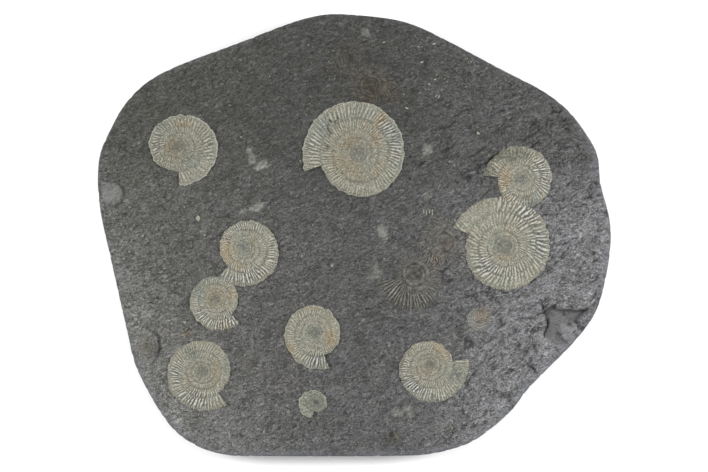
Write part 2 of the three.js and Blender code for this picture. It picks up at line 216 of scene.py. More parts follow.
COOL_PLACES = [
    ((-23.2, 77.2), 9, 6, 60, 1.0), ((3.4, 86.6), 13, 5, 0, 0.7), ((28, 71), 6, 10, 0, 0.6),
    ((33, 50), 3, 7, -10, 0.9), ((-117, 55), 8, 8, 0, 0.7), ((-139.6, 78.3), 7, 4, 40, 0.6),
    ((129, 25.4), 7, 4, 60, 1.0), ((119.3, 39.5), 5, 4, 0, 0.7), ((113, 55.6), 9, 3, 0, 0.6),
    ((-112.8, -38.7), 4, 12, 10, 1.0), ((-101, -31), 12, 4, 5, 0.8), ((-117.2, -85.5), 7, 4, -40, 0.7),
    ((-92.3, -95.2), 3, 10, 0, 0.5), ((74.4, -100.3), 6.5, 6.5, 0, 1.0), ((-78.5, -8.1), 6, 6, 0, 0.8),
    ((104, -6), 7, 8, 0, 0.6), ((131.3, -7), 6, 12, 0, 0.5), ((-28.5, -69.2), 6, 6, 0, 0.8),
    ((-27, -120), 12, 12, 0, 0.75), ((-28, -90), 7, 5, 0, 0.5), ((46, -112), 9, 5, 0, 0.5),
]
BOLD_PLACES = [
    ((124, 14.5), 12, 9, -35, 1.0), ((133, -6), 8, 13, 0, 0.8), ((95.8, -22.6), 12, 7, -40, 1.0),
    ((112, -27), 11, 7, 10, 0.5), ((133.6, 49), 9, 7, 20, 1.0), ((137, 38), 6, 9, 0, 0.8),
    ((109, 27), 10, 5, -10, 0.6), ((24, 78), 12, 6, -40, 0.9), ((30, 62), 7, 12, 0, 0.7),
    ((-30, 66), 6, 12, 0, 0.5), ((-76, -29), 15, 6, 10, 1.0), ((-58, -14), 6, 14, 0, 0.5),
    ((-76, 6), 15, 5, 0, 0.6), ((-91, -3), 4, 6, 30, 0.8), ((-93, -63), 12, 7, 20, 1.0),
    ((-108, -57), 8, 6, -30, 0.6), ((-115, -118), 12, 8, -20, 0.9), ((-128, -99), 5, 8, 0, 0.9),
    ((-27, -90.5), 10, 6, 0, 1.0), ((41, -108), 10, 8, -30, 1.0), ((55, -116), 12, 5, 0, 0.6),
    ((35, -92), 5, 13, 0, 0.6), ((-141, 66), 5, 10, 0, 0.6), ((-105, 63), 4, 12, 10, 0.5),
]
WORN_PLACES = [
    ((90.2, 14.2), 14, 11, 30, 1.0), ((118, -33), 12, 6, 20, 0.6), ((3.4, 39.3), 16, 7, 0, 1.0),
    ((-94, -12), 7, 10, 0, 0.8), ((-92.5, -95), 5, 13, 0, 1.0), ((-118, 72), 10, 8, 0, 0.7),
    ((-111, 50), 9, 12, 0, 0.6), ((74.4, -100.3), 8, 8, 0, 1.0), ((-27.5, -120.4), 12, 12, 0, 0.97),
    ((-112, -38), 6, 14, 0, 0.4), ((-15, -64), 6, 12, 0, 0.7), ((-23, 75), 8, 7, 60, 0.4),
    ((102, -5), 8, 9, 0, 0.8), ((112, 56), 12, 4, 0, 0.6), ((62, -80), 9, 5, -40, 0.3),
]
DULL_PLACES = [
    ((-126.9, 63.5), 30, 30, 0, 0.42), ((2.4, 59.2), 42, 42, 0, 0.22), ((104, 57), 10, 5, 15, 1.0),
    ((114, 58), 17, 7, 5, 0.95), ((96, 46), 10, 8, 0, 0.9), ((128, 24), 9, 5, -20, 0.5),
    ((-113, -35), 9, 9, 20, 0.5), ((-139.6, 78), 8, 5, 40, 0.6), ((-110, 76), 5, 6, 0, 0.5),
    ((-118, -84), 8, 5, -30, 0.5), ((-27.5, -120.4), 14, 14, 0, 0.6), ((90, 14), 12, 9, 30, 0.3),
    ((3.4, 39.3), 14, 6, 0, 0.6), ((28, 70), 7, 9, 0, 0.4), ((74.4, -100.3), 7, 7, 0, 0.7),
    ((104, -6), 8, 9, 0, 0.4), ((-92, -95), 4, 12, 0, 0.4), ((-20, -57), 7, 4, -40, 0.3),
    ((-23, 77), 8, 8, 60, 0.3), ((33, -88), 4, 9, 0, 0.3), ((-104, 68), 4, 9, 0, 0.35),
]
DARK_BOLD_PLACES = [
    ((30, -40), 16, 11, -50, 1.0), ((44, -50), 16, 8, 0, 0.9), ((56, -17), 8, 8, 30, 0.9),
    ((43, -27), 10, 10, 0, 0.9), ((65, -5), 9, 9, 0, 0.9), ((72, -22), 10, 5, 0, 0.8),
    ((25, 104), 8, 12, 20, 0.9), ((11, 107), 12, 12, 0, 0.8), ((-15, 123), 8, 10, 0, 0.8),
    ((28, -144), 8, 8, 0, 1.0), ((-144, -80), 8, 13, 0, 1.0),
]
PALE_PLACES = [
    ((-66.4, 50.3), 6, 3, 15, 1.0), ((-73.2, 55), 5.5, 3, -70, 0.7), ((-75.8, 60.7), 2.4, 2.4, 0, 0.8),
    ((-69.5, 20.3), 6, 3, 20, 0.95), ((-80, 17.5), 2.5, 2, 0, 0.7), ((20.5, 1.5), 3.5, 6, 30, 1.0),
    ((15, -27), 4, 6, 0, 0.6), ((85.5, -66), 5, 4, 30, 0.35), ((8.5, 146), 4, 3, -60, 0.6),
    ((52.5, 61.5), 4, 4, 0, 0.7), ((53, 29), 4, 3, 0, 0.45), ((34.5, -126.5), 7.5, 3.2, 25, 0.7),
    ((40.6, -128.8), 3, 2, -30, 0.8), ((50, -117), 3, 1.6, -30, 0.6), ((-154, 23), 5, 2, 0, 0.2),
    ((-150, -79.5), 8.5, 11, 0, 0.26), ((131, 86), 4, 3, 0, 0.2), ((-5, -49), 7, 3, 60, 0.2),
]
BROWN_PLACES = [
    ((92, -57.5), 5.5, 7, -10, 0.85), ((67.5, -8), 8, 4, 45, 0.5), ((59.5, -18), 6, 4, 30, 0.6),
    ((24, 103), 8, 14, 60, 0.5), ((12, 107), 14, 12, 0, 0.45), ((-4, 118), 16, 8, 0, 0.25),
    ((-72, -95), 5, 3, 0, 0.35), ((-121, -70.5), 5, 2.5, 0, 0.9), ((9, 96), 6, 3, 20, 0.8),
    ((-50, -106), 18, 9, 0, 0.12),
]

# Kinds of patches: seed, where a patch starts to fade and where it ends in its own size, and places
PATCHES = {
    "bold": (SEED + 80, 0.3, 1.3, BOLD_PLACES),
    "worn": (SEED + 84, 0.3, 1.3, WORN_PLACES),
    "warm": (SEED + 88, 0.1, 1.35, WARM_PLACES),
    "cool": (SEED + 92, 0.1, 1.35, COOL_PLACES),
    "dull": (SEED + 94, 0.2, 1.3, DULL_PLACES),
    "dark_bold": (SEED + 96, 0.6, 1.15, DARK_BOLD_PLACES),
    "pale": (SEED + 70, 0.6, 1.15, PALE_PLACES),
    "stain": (SEED + 74, 0.6, 1.15, BROWN_PLACES),
}

# The brown bivalve impression. The beak, where its folds start, is above the centre.
BIVALVE_CENTRE = (89.5, -61.4)
BIVALVE_HALF = (11.0, 10.0)
BIVALVE_BEAK = (92.5, -55.4)
BIVALVE_RINGS = 44
BIVALVE_SPOKES = 120

# Small shell fragments: place, half length, half width, direction in degrees
NAMED_FRAGMENTS = [
    ((-112.5, 12.4), 2.6, 1.6, 90), ((21.4, 139), 1.5, 0.7, 10), ((48.8, 124.8), 1.6, 0.8, 20),
    ((57.5, 138), 1.6, 0.7, 25), ((89, 73.6), 1.5, 1.3, 0), ((-37.6, -14.9), 1.2, 1.0, 0),
    ((-16, -22.1), 1.3, 1.1, 0), ((-89.7, -144.5), 2.2, 0.5, 88), ((-65, -142), 2.4, 0.5, 92),
    ((58.9, 100.3), 1.8, 0.5, 60), ((61, 99.6), 1.8, 0.5, 60), ((-81.5, 70.8), 1.0, 0.5, 20),
    ((-137, -24), 1.0, 0.6, 30), ((7.5, 130), 0.8, 0.5, 0), ((-122, -63), 1.3, 0.9, 0),
    ((-108, 0), 1.0, 0.8, 0), ((-32.5, 49.5), 1.0, 0.8, 0), ((35.5, 101.5), 1.1, 0.5, -40),
    ((58.4, 112.3), 1.3, 0.7, 30), ((54, 108.9), 1.0, 0.6, 20), ((65.1, 112.7), 0.9, 0.5, 40),
    ((59.4, 115.6), 0.8, 0.5, 0), ((37.8, 91.6), 1.7, 0.7, -30), ((-54, 37), 0.8, 0.4, 60),
]
RANDOM_FRAGMENTS = 150
RANDOM_HALF = (180, 155)  # half the size of the field that they are strewn over
FRAGMENT_DULLNESS = 0.25
FRAGMENT_SIDES = 12
FRAGMENT_RINGS = 4

# Traces of ribs left in the rock: centre, direction, how many, spacing, half length, dullness
RIB_TRACES = [
    ((53.1, 16.7), 90, 4, 2.1, 3.8, 0.1), ((66.8, -137.3), 70, 5, 1.9, 2.6, 0.8),
    ((-82.3, -151), 80, 4, 1.9, 2.2, 0.9), ((81.9, 126.2), 50, 4, 1.8, 2.2, 0.8),
    ((26.5, 112), 40, 5, 1.9, 2.4, 0.9), ((-15.3, 123.2), 60, 5, 1.9, 2.2, 1.0),
]
TRACE_HALF_WIDTH = 0.4

# Studio. A light has a place and a size in metres and a power in watts.
LENS = 100.0
SENSOR = 36.0
VIEW_WIDTH = 509.76  # what the photo's width spans at the split face
VIEW_CENTRE = (-0.18, -0.54)
LIGHTS = {
    "right_light": ((1.3, 0.18, 0.55), 0.5, 24),
    "left_light": ((-1.3, 0.25, 0.6), 0.6, 21.5),
}
WORLD_STRENGTH = 0.78
FLOOR_HALF = 4000.0
FLOOR_LEVEL = -0.2


# Noise

def lattice_angle(ix, iy, seed):
    """A direction for each lattice point, the same every run."""
    mask = np.uint64(0xFFFFFFFF)
    h = (ix.astype(np.int64).astype(np.uint64) * np.uint64(374761393)) & mask
    h = (h + iy.astype(np.int64).astype(np.uint64) * np.uint64(668265263)) & mask
    h = (h + np.uint64(seed * 974711 + 12345)) & mask
    h = ((h ^ (h >> np.uint64(13))) * np.uint64(1274126177)) & mask
    h = ((h ^ (h >> np.uint64(16))) * np.uint64(2246822519)) & mask
    return (h >> np.uint64(8)).astype(float) * (TURN / 2**24)


def noise(x, y, seed):
    """Smooth gradient noise, about -1 to 1, one lump for each unit of x and y."""
    ix, iy = np.floor(x), np.floor(y)
    fx, fy = x - ix, y - iy
    ux = fx * fx * fx * (fx * (fx * 6 - 15) + 10)
    uy = fy * fy * fy * (fy * (fy * 6 - 15) + 10)
    corner = []
    for dx, dy in ((0, 0), (1, 0), (0, 1), (1, 1)):
        angle = lattice_angle(ix + dx, iy + dy, seed)
        corner.append(np.cos(angle) * (fx - dx) + np.sin(angle) * (fy - dy))
    low = corner[0] + ux * (corner[1] - corner[0])
    high = corner[2] + ux * (corner[3] - corner[2])
    return 1.6 * (low + uy * (high - low))


def layered_noise(x, y, seed, octaves=4, gain=0.55):
    """Noise with finer and weaker noise added, each octave half the size of the last."""
    total = np.zeros_like(x)
    strength = 1.0
    for octave in range(octaves):
        total = total + strength * noise(x * 2**octave, y * 2**octave, seed + octave)
        strength *= gain
    return total


def warped(x, y, reach, size, seed):
    """The points moved about by noise, so that what is drawn at them bends."""
    return x + reach * noise(x / size, y / size, seed), y + reach * noise(x / size, y / size, seed + 1)


def step_between(value, low, high):
    """0 below low, 1 above high, and smooth between them."""
    t = np.clip((value - low) / (high - low), 0, 1)
    return t * t * (3 - 2 * t)


def blend(start, end, share):
    """The start where the share is 0, the end where it is 1, and in proportion between them."""
    return start + (end - start) * share


# Plane geometry

def smooth_closed_curve(points, per_span):
    """Centripetal Catmull-Rom curve through the points, as the CAD's outline."""
    points = [np.array(p, float) for p in points]
    count = len(points)
    result = []
    for i in range(count):
        p0, p1, p2, p3 = (points[(i + k - 1) % count] for k in range(4))
        t1 = np.linalg.norm(p1 - p0) ** 0.5
        t2 = t1 + np.linalg.norm(p2 - p1) ** 0.5
        t3 = t2 + np.linalg.norm(p3 - p2) ** 0.5
        for t in np.linspace(t1, t2, per_span, endpoint=False):
            a1 = (t1 - t) / t1 * p0 + t / t1 * p1
            a2 = (t2 - t) / (t2 - t1) * p1 + (t - t1) / (t2 - t1) * p2
            a3 = (t3 - t) / (t3 - t2) * p2 + (t - t2) / (t3 - t2) * p3
            b1 = (t2 - t) / t2 * a1 + t / t2 * a2
            b2 = (t3 - t) / (t3 - t1) * a2 + (t - t1) / (t3 - t1) * a3
            result.append((t2 - t) / (t2 - t1) * b1 + (t - t1) / (t2 - t1) * b2)
    return np.array(result)


def turned(x, y, direction):
    """Coordinates along and across a direction in degrees."""
    c, s = math.cos(math.radians(direction)), math.sin(math.radians(direction))
    return x * c + y * s, y * c - x * s


def around(count):
    """The number of each place on a ring, with that of the next one."""
    return [(i, (i + 1) % count) for i in range(count)]


def nearest_on_span(x, y, start, end):
    """How far along a straight span its nearest point is, from 0 to 1, and that point."""
    (ax, ay), (bx, by) = start, end
    ex, ey = bx - ax, by - ay
    t = np.clip(((x - ax) * ex + (y - ay) * ey) / (ex * ex + ey * ey), 0, 1)
    return t, ax + t * ex, ay + t * ey


def nearest_on_polygon(x, y, polygon):
    """Distance to a closed polygon, positive inside, and the nearest point on it."""
    best = np.full(x.shape, np.inf)
    near_x = np.zeros_like(x)
    near_y = np.zeros_like(y)
    inside = np.zeros(x.shape, bool)
    for (ax, ay), (bx, by) in zip(polygon, np.roll(polygon, -1, axis=0)):
        _, px, py = nearest_on_span(x, y, (ax, ay), (bx, by))
        d = np.hypot(x - px, y - py)
        closer = d < best
        best = np.where(closer, d, best)
        near_x = np.where(closer, px, near_x)
        near_y = np.where(closer, py, near_y)
        if ay != by:
            crosses = (ay > y) != (by > y)
            inside ^= crosses & (x < ax + (y - ay) * (bx - ax) / (by - ay))
    return np.where(inside, best, -best), near_x, near_y


def depth_inside(x, y, polygon):
    """How far a point is inside a closed polygon, negative outside."""
    return nearest_on_polygon(x, y, polygon)[0]


def distance_to_line(x, y, points):
    """Distance to an open line, and how far along it the nearest point is, from 0 to 1."""
    best = np.full(x.shape, np.inf)
    along = np.zeros_like(x)
    spans = len(points) - 1
    for i in range(spans):
        t, px, py = nearest_on_span(x, y, points[i], points[i + 1])
        d = np.hypot(x - px, y - py)
        along = np.where(d < best, (i + t) / spans, along)
        best = np.minimum(best, d)
    return best, along


def patch_strength(x, y, kind):
    """How strong a kind of ragged patch is at each point."""
    seed, full, gone, places = PATCHES[kind]
    total = np.zeros_like(x)
    ragged = 0.35 * layered_noise(x / 3.5, y / 3.5, seed, 3)
    for (cx, cy), half_length, half_width, direction, strength in places:
        along, across = turned(x - cx, y - cy, direction)
        away = np.hypot(along / half_length, across / half_width) + ragged
        total = np.maximum(total, strength * (1 - step_between(away, full, gone)))
    return total


# Coils

def coil_radius(radii, angle):
    """Outer radius of a coil at an angle inward from its mouth."""
    shrink = math.log(radii[0] / radii[4]) / TURN
    g = [math.log(radii[i]) + shrink * i * TURN / 4 for i in range(4)]
    wobble = (g[0] - g[2]) / 2 * np.cos(angle) + (g[1] - g[3]) / 2 * np.sin(angle)
    wobble = wobble + (g[0] - g[1] + g[2] - g[3]) / 4 * np.cos(2 * angle)
    inner_shrink = math.log(INNER_WHORL_RATIO) / TURN
    fall = shrink * np.minimum(angle, TURN) + inner_shrink * np.maximum(angle - TURN, 0)
    return np.exp(sum(g) / 4 + wobble - fall)


def depth_inside_coil(x, y, centre, mouth, inward, radii):
    """How far a point is inside a coil's outline, negative outside."""
    dx, dy = x - centre[0], y - centre[1]
    reach = np.hypot(dx, dy)
    angle = np.mod(inward * (np.arctan2(dy, dx) - math.radians(mouth)), TURN)
    to_rim = coil_radius(radii, angle) - reach
    past_mouth = np.where(reach > radii[4], reach * angle, np.inf)
    return np.minimum(to_rim, past_mouth)


# The split face

def face_height(x, y):
    """Height of the split face before anything is flaked off it, as in the CAD."""
    long_wave = np.sin(x / 46 + 0.6) * np.cos(y / 38 - 0.4)
    slant_wave = np.sin((x + 1.6 * y) / 60 + 2)
    return FACE_LEVEL + SWELL * (long_wave + 0.5 * slant_wave)


def right_side(x, y):
    """1 in the light, wrinkled right and lower right part of the face, 0 at the left."""
    return step_between(x - 0.25 * y, 75, 150) * step_between(-y, -75, 10)


def torn_side(x, y):
    """1 where the face is torn into ridges, at the right and lower right, 0 at the left."""
    return step_between(x, 20, 85) * (1 - 0.6 * step_between(y, 85, 150))


def flake_cut(x, y, flake, edge_width):
    """How much a flaked place lowers the face."""
    ragged = 0.55 * layered_noise(x / 6, y / 6, SEED + 40, 3)
    inside = depth_inside(x, y, flake["outline"]) + ragged
    (ax, ay), (rx, ry) = flake["at"], flake["rise"]
    level = face_height(np.array(float(ax)), np.array(float(ay)))
    floor = level - flake["depth"] + rx * (x - ax) + ry * (y - ay)
    return np.maximum(face_height(x, y) - floor, 0) * step_between(inside, 0, edge_width)


def lines_cut(x, y, lines):
    """How much open cracks and breaks lower a surface."""
    total = np.zeros_like(x)
    bend = 0.8 * noise(x / 4, y / 4, SEED + 50)
    for points, width, depth in lines:
        away, along = distance_to_line(x + bend, y + bend, points)
        taper = np.sin(np.clip(along, 0.02, 0.98) * math.pi) ** 0.5
        total = np.maximum(total, depth * taper * (1 - step_between(away, 0.15 * width, width)))
    return total


def crevices(x, y):
    """1 in the thin dark crevices between torn layers, 0 elsewhere."""
    torn = torn_side(x, y)
    warp_x, warp_y = warped(x, y, 5, 19, SEED + 21)
    total = np.zeros_like(x)
    for number, (direction, length, spacing, calm_share, torn_share) in enumerate(CREVICES):
        along, across = turned(warp_x, warp_y, direction)
        line = layered_noise(along / length, across / spacing, SEED + 24 + 5 * number, 2)
        mask = noise(x / 12, y / 12, SEED + 27 + 5 * number)
        drawn = (1 - step_between(np.abs(line), 0.03, 0.75 / spacing)) * step_between(mask, -0.05, 0.4)
        total = np.maximum(total, blend(calm_share, torn_share, torn) * drawn)
    return total


def scaly_texture(x, y):
    """The fine relief of split shale: short scales and thin torn layers."""
    torn = torn_side(x, y)
    warp_x, warp_y = warped(x, y, 3.5, 17, SEED + 1)
    level_scales = layered_noise(warp_x / 5.5, warp_y / 2.6, SEED + 3, 3, 0.7)
    steep_x = warp_x * 0.87 + warp_y * 0.5
    steep_y = warp_y * 0.87 - warp_x * 0.5
    steep_scales = layered_noise(steep_x / 6.0, steep_y / 3.0, SEED + 7, 3, 0.7)
    scales = blend(level_scales, steep_scales, torn)
    stairs = layered_noise(warp_x / 13, warp_y / 9, SEED + 12, 3) * 3
    layers = np.floor(stairs) + step_between(stairs - np.floor(stairs), 0.35, 0.6)
    ridges = 1 - np.abs(noise(steep_x / 11, steep_y / 5, SEED + 16)) * 2.2
    lumps = layered_noise(warp_x / 8, warp_y / 5, SEED + 19, 2)
    relief = (0.13 + 0.14 * torn) * scales + 0.1 * layers + 0.5 * torn * np.maximum(ridges, 0)
    return relief + (0.08 + 0.34 * torn) * lumps - (0.2 + 0.4 * torn) * crevices(x, y)


def base_height(x, y):
    """The face with its large forms: swells, flaked places and cracks."""
    cut = flake_cut(x, y, MISSING_LAYER, 1.5)
    cut = np.maximum(cut, flake_cut(x, y, STEP_BELOW_COIL, 4.5))
    cut = np.maximum(cut, flake_cut(x, y, HOLLOW, 1.2))
    cut = cut - PLATE_RISE * step_between(depth_inside(x, y, PLATE), 0, 1)
    return face_height(x, y) - cut - lines_cut(x, y, CRACKS)


def beside_circle(x, y, centre, radius, width):
    """1 on a circle, and less the further from it."""
    away = np.hypot(x - centre[0], y - centre[1])
    return np.exp(-((away - radius) / width) ** 2)


def smooth_disc(x, y):
    """Height of the low disc near the left edge, with the groove around it."""
    centre, radius, height = DISC
    dome = np.sqrt(np.clip(1 - (np.hypot(x - centre[0], y - centre[1]) / radius) ** 2, 0, 1))
    groove_radius, width, depth = DISC_GROOVE
    return height * dome - depth * beside_circle(x, y, centre, groove_radius, width)


def rock_height(x, y):
    """The finished split face, before anything lies on it."""
    disc = smooth_disc(x, y)
    quiet = 1 - 0.85 * step_between(disc, 0.05, 0.3)
    quiet = quiet * (1 - 0.6 * step_between(depth_inside(x, y, HOLLOW["outline"]), 0, 1.5))
    height = base_height(x, y) + scaly_texture(x, y) * quiet + disc
    return np.minimum(height, HIGHEST_ROCK)


def under_fossils(x, y):
    """1 well inside any coil, where the slab is kept below the coil's own surface."""
    covered = np.zeros_like(x)
    for spec in AMMONITES.values():
        covered = np.maximum(covered, step_between(depth_inside_coil(x, y, *spec[:4]), 0.5, 1.9))
    for spec in DARK_COILS.values():
        covered = np.maximum(covered, 0.9 * step_between(depth_inside_coil(x, y, *spec[:4]), 1.2, 3.5))
    return covered


# Tones of the rock, one number for each vertex

def left_side(x):
    """1 at the left edge, 0 from the middle on."""
    return step_between(-x, -10, 150)


def base_tone_and_sheen(x, y):
    """How light the rock is, before its lumps, patches and marks: its own tone, with painted sheen that
    makes it lighter at the right, the left, the bottom and the lower left corner, and darker at the top.
    """
    light = 0.07 + 0.08 * torn_side(x, y) + 0.53 * right_side(x, y)
    light = light + 0.42 * step_between(-x - 0.6 * y, 130, 215)
    light = light + 0.13 * left_side(x) * (1 - 0.5 * step_between(y, 30, 110))
    light = light + 0.12 * step_between(-y, 30, 150)
    return light + 0.2 * step_between(80 - y, 0, 90) + 0.1 * step_between(x, 10, 100)


def painted_shade_marks(x, y, in_hollow):
    """Painted shade in cracks and crevices, at the foot of the hollow's upper wall and along the disc's
    right side.
    """
    # Painted shade in the open cracks.
    cracks = 0.9 * np.clip(lines_cut(x, y, CRACKS) / 0.5, 0, 1)
    # Painted shade in the crevices between torn layers, stronger on the torn side.
    torn = crevices(x, y) * (0.3 + 0.48 * torn_side(x, y))
    # Painted shade at the foot of the hollow's upper wall.
    painted_wall_shade = step_between(in_hollow, -0.4, 0.3) * (1 - step_between(in_hollow, 0.6, 3.2))
    painted_wall_shade = 0.6 * painted_wall_shade * step_between(y, -70, -58)
    # Painted shadow along the right side of the raised disc.
    *circle, strength = DISC_SHADOW_LINE
    painted_disc_shadow = strength * beside_circle(x, y, *circle) * step_between(x, -176, -170)
    return np.maximum.reduce([cracks, torn, painted_wall_shade, painted_disc_shadow])


def face_tones(points):
    """The attributes that the shale material reads at any point of the face."""
    x, y, _ = points.T
    right = right_side(x, y)
    in_hollow = depth_inside(x, y, HOLLOW["outline"])
    hollow = step_between(in_hollow, 0, 1)
    plate = step_between(depth_inside(x, y, PLATE), 0, 1)
    disc = step_between(smooth_disc(x, y), 0.05, 0.4)
    lumps = (0.03 + 0.15 * right) * (1 - hollow) * layered_noise(x / 15, y / 11, SEED + 30, 3)
    # The hollow's floor is painted darker as shade in the recess, and the plate in it is lifted back to the
    # rock's tone.
    light = base_tone_and_sheen(x, y) - 0.46 * hollow + 0.5 * plate + 0.36 * disc + lumps
    return {
        # light holds the rock's own tone together with painted sheen and the hollow's painted shade.
        "light": np.clip(light, 0, 1),
        "smooth": np.maximum(0.75 * hollow, disc),
        "pale": patch_strength(x, y, "pale"),
        "stain": patch_strength(x, y, "stain"),
        "dark": painted_shade_marks(x, y, in_hollow),
        "olive": left_side(x),
    }


def bevel_highlight(x, y, curve):
    """The ragged pale band along the worn edge: a painted highlight on the bevel, strong on the lit lower
    right side, weak at the upper left and missing on the disc.
    """
    ragged = 2.5 * layered_noise(x / 7, y / 7, SEED + 64, 3)
    lit_side = 0.2 + 0.8 * step_between(0.6 * x - y, -40, 60)
    off_disc = 1 - step_between(smooth_disc(x, y), 0.02, 0.2)
    return (1 - step_between(depth_inside(x, y, curve) + ragged, 1.0, 5.5)) * lit_side * off_disc


# Mesh making

def build_object(name, vertices, faces, material, attributes=None):
    """A mesh object from millimetre vertices. attributes maps a name to one number for each vertex."""
    mesh = bpy.data.meshes.new(name)
    mesh.from_pydata((np.asarray(vertices, float) * MM).tolist(), [], [tuple(map(int, f)) for f in faces])
    mesh.validate()
    for key, values in (attributes or {}).items():
        layer = mesh.attributes.new(key, "FLOAT", "POINT")
        layer.data.foreach_set("value", np.asarray(values, np.float32))
    mesh.shade_smooth()
    mesh.materials.append(material)
    piece = bpy.data.objects.new(name, mesh)
    bpy.context.scene.collection.objects.link(piece)
    return piece


def with_extra(values, total, fill=0.0):
    """The values, filled up to one for each of total vertices."""
    return np.concatenate([values, np.full(total - len(values), fill)])


def dome_faces(rows, sides, first=0):
    """Faces of a closed dome: a top point, rows of points outward and down, and a bottom point."""
    faces = []
    lowest = first + 1 + (rows - 1) * sides
    for j, k in around(sides):
        faces.append((first, first + 1 + j, first + 1 + k))
        for a in range(first + 1, lowest, sides):
            faces.append((a + j, a + sides + j, a + sides + k, a + k))
        faces.append((lowest + sides, lowest + k, lowest + j))
    return faces


# The slab

def kept_cells(inside):
    """Grid cells that lie wholly inside, without single cells that stick out."""
    cells = inside[:-1, :-1] & inside[1:, :-1] & inside[:-1, 1:] & inside[1:, 1:]
    for _ in range(4):
        padded = np.pad(cells, 1).astype(int)
        neighbours = padded[:-2, 1:-1] + padded[2:, 1:-1] + padded[1:-1, :-2] + padded[1:-1, 2:]
        cells = cells & (neighbours >= 2)
    return cells


def border_loop(faces):
    """The outer border of a sheet of faces, as one loop of vertex numbers, the sheet on its left."""
    edges = set()
    for face in faces:
        for a, b in zip(face, np.roll(face, -1)):
            edges.add((int(a), int(b)))
    following = {a: b for a, b in edges if (b, a) not in edges}
    start = min(following)
    loop = [start]
    while following[loop[-1]] != start:
        loop.append(following[loop[-1]])
    return loop


def slab_top(curve):
    """Grid of the split face out to the worn edge: points, faces and border loop."""
    xs, ys = (np.arange(-half, half + 1, TOP_CELL) for half in TOP_HALF)
    x, y = np.meshgrid(xs, ys)
    cells = kept_cells(depth_inside(x, y, curve[::4]) > BEVEL + 0.3 * TOP_CELL)
    number = np.arange(x.size).reshape(x.shape)
    corners = (number[:-1, :-1], number[:-1, 1:], number[1:, 1:], number[1:, :-1])
    faces = np.stack([corner[cells] for corner in corners], axis=1)
    used, faces = np.unique(faces, return_inverse=True)
    faces = faces.reshape(-1, 4)
    return x.ravel()[used], y.ravel()[used], faces, border_loop(faces)


def edge_path(curve, x, y):
    """For each border point, the nearest outline point and the inward direction there."""
    _, near_x, near_y = nearest_on_polygon(x, y, curve)
    inward_x, inward_y = x - near_x, y - near_y
    length = np.hypot(inward_x, inward_y)
    return near_x, near_y, inward_x / length, inward_y / length


def side_profile(run, border_z, worn):
    """Rings down the side: how far in from the outline, height, and how much is side and not face."""
    rings = []
    shoulder = FACE_LEVEL - BEVEL + 0.25 * noise(run / 14, run * 0 + 3, SEED + 61)
    for bend in (0.3, 0.6, 0.85):
        angle = bend * TURN / 4
        rings.append((worn * (1 - math.sin(angle)), blend(shoulder, border_z, math.cos(angle)), 0.5 * bend))
    for ring in range(SIDE_RINGS):
        height = shoulder * (1 - ring / SIDE_RINGS)
        layer = 0.16 + 0.16 * layered_noise(run / 30, height * 0.9, SEED + 62, 3)
        rings.append((np.clip(layer, 0, 0.6), height, 1.0))
    rings.append((np.full(len(run), 0.7), np.zeros(len(run)), 1.0))
    return rings


def underside(ring, ring_numbers, first_number):
    """Points and triangles of the flat underside, facing down."""
    xs, ys = (np.arange(-half, half + 1, UNDERSIDE_CELL) for half in UNDERSIDE_HALF)
    x, y = (v.ravel() for v in np.meshgrid(xs, ys))
    rng = np.random.default_rng(SEED)
    x = x + rng.uniform(-1, 1, x.size)
    y = y + rng.uniform(-1, 1, y.size)
    clear = depth_inside(x, y, ring[::6, :2]) > 4
    x, y = x[clear], y[clear]
    points = [Vector(p[:2]) for p in ring] + [Vector(p) for p in zip(x, y)]
    result = delaunay_2d_cdt(points, around(len(ring)), [], 1, 1e-7)
    origin = [group[0] for group in result[3]]
    number = list(ring_numbers) + list(range(first_number, first_number + len(x)))
    faces = [tuple(number[origin[v]] for v in reversed(face)) for face in result[2]]
    return np.stack([x, y, np.zeros(len(x))], axis=1), faces


def make_slab(material):
    curve = smooth_closed_curve(OUTLINE, 12)
    x, y, faces, loop = slab_top(curve)
    near_x, near_y, in_x, in_y = edge_path(curve, x[loop], y[loop])
    run = np.cumsum(np.hypot(np.diff(near_x, append=near_x[0]), np.diff(near_y, append=near_y[0])))
    worn = np.clip(BEVEL * (0.75 + 0.35 * layered_noise(run / 9, run * 0, SEED + 60, 3)), 0.5, 2.6)
    chips = np.clip(0.5 * layered_noise(run / 7, run * 0 + 5, SEED + 66, 3), 0, 0.9)
    near_x, near_y = near_x + in_x * chips, near_y + in_y * chips
    x[loop], y[loop] = near_x + in_x * worn, near_y + in_y * worn
    z = rock_height(x, y) - under_fossils(x, y)

    # Each ring of the side and its faces, from the worn edge down to the underside
    vertices = [np.stack([x, y, z], axis=1)]
    side_share = [np.zeros(len(x))]
    faces = [tuple(face) for face in faces]
    first, count = len(x), len(loop)
    upper = loop
    for inset, height, share in side_profile(run, z[loop], worn):
        vertices.append(np.stack([near_x + in_x * inset, near_y + in_y * inset, height], axis=1))
        side_share.append(np.full(count, share))
        lower = list(range(first, first + count))
        faces += [(upper[j], upper[i], lower[i], lower[j]) for i, j in around(count)]
        upper = lower
        first += count
    under_vertices, under_faces = underside(vertices[-1], upper, first)
    points = np.concatenate(vertices + [under_vertices])
    attributes = face_tones(points)
    attributes["side"] = with_extra(np.concatenate(side_share), len(points), 1.0)
    attributes["edge"] = bevel_highlight(points[:, 0], points[:, 1], curve[::4])
    slab = build_object("split_shale_slab", points, faces + under_faces, material, attributes)
    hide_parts("shale_slab")
    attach(slab, "root")


# Coiled shells

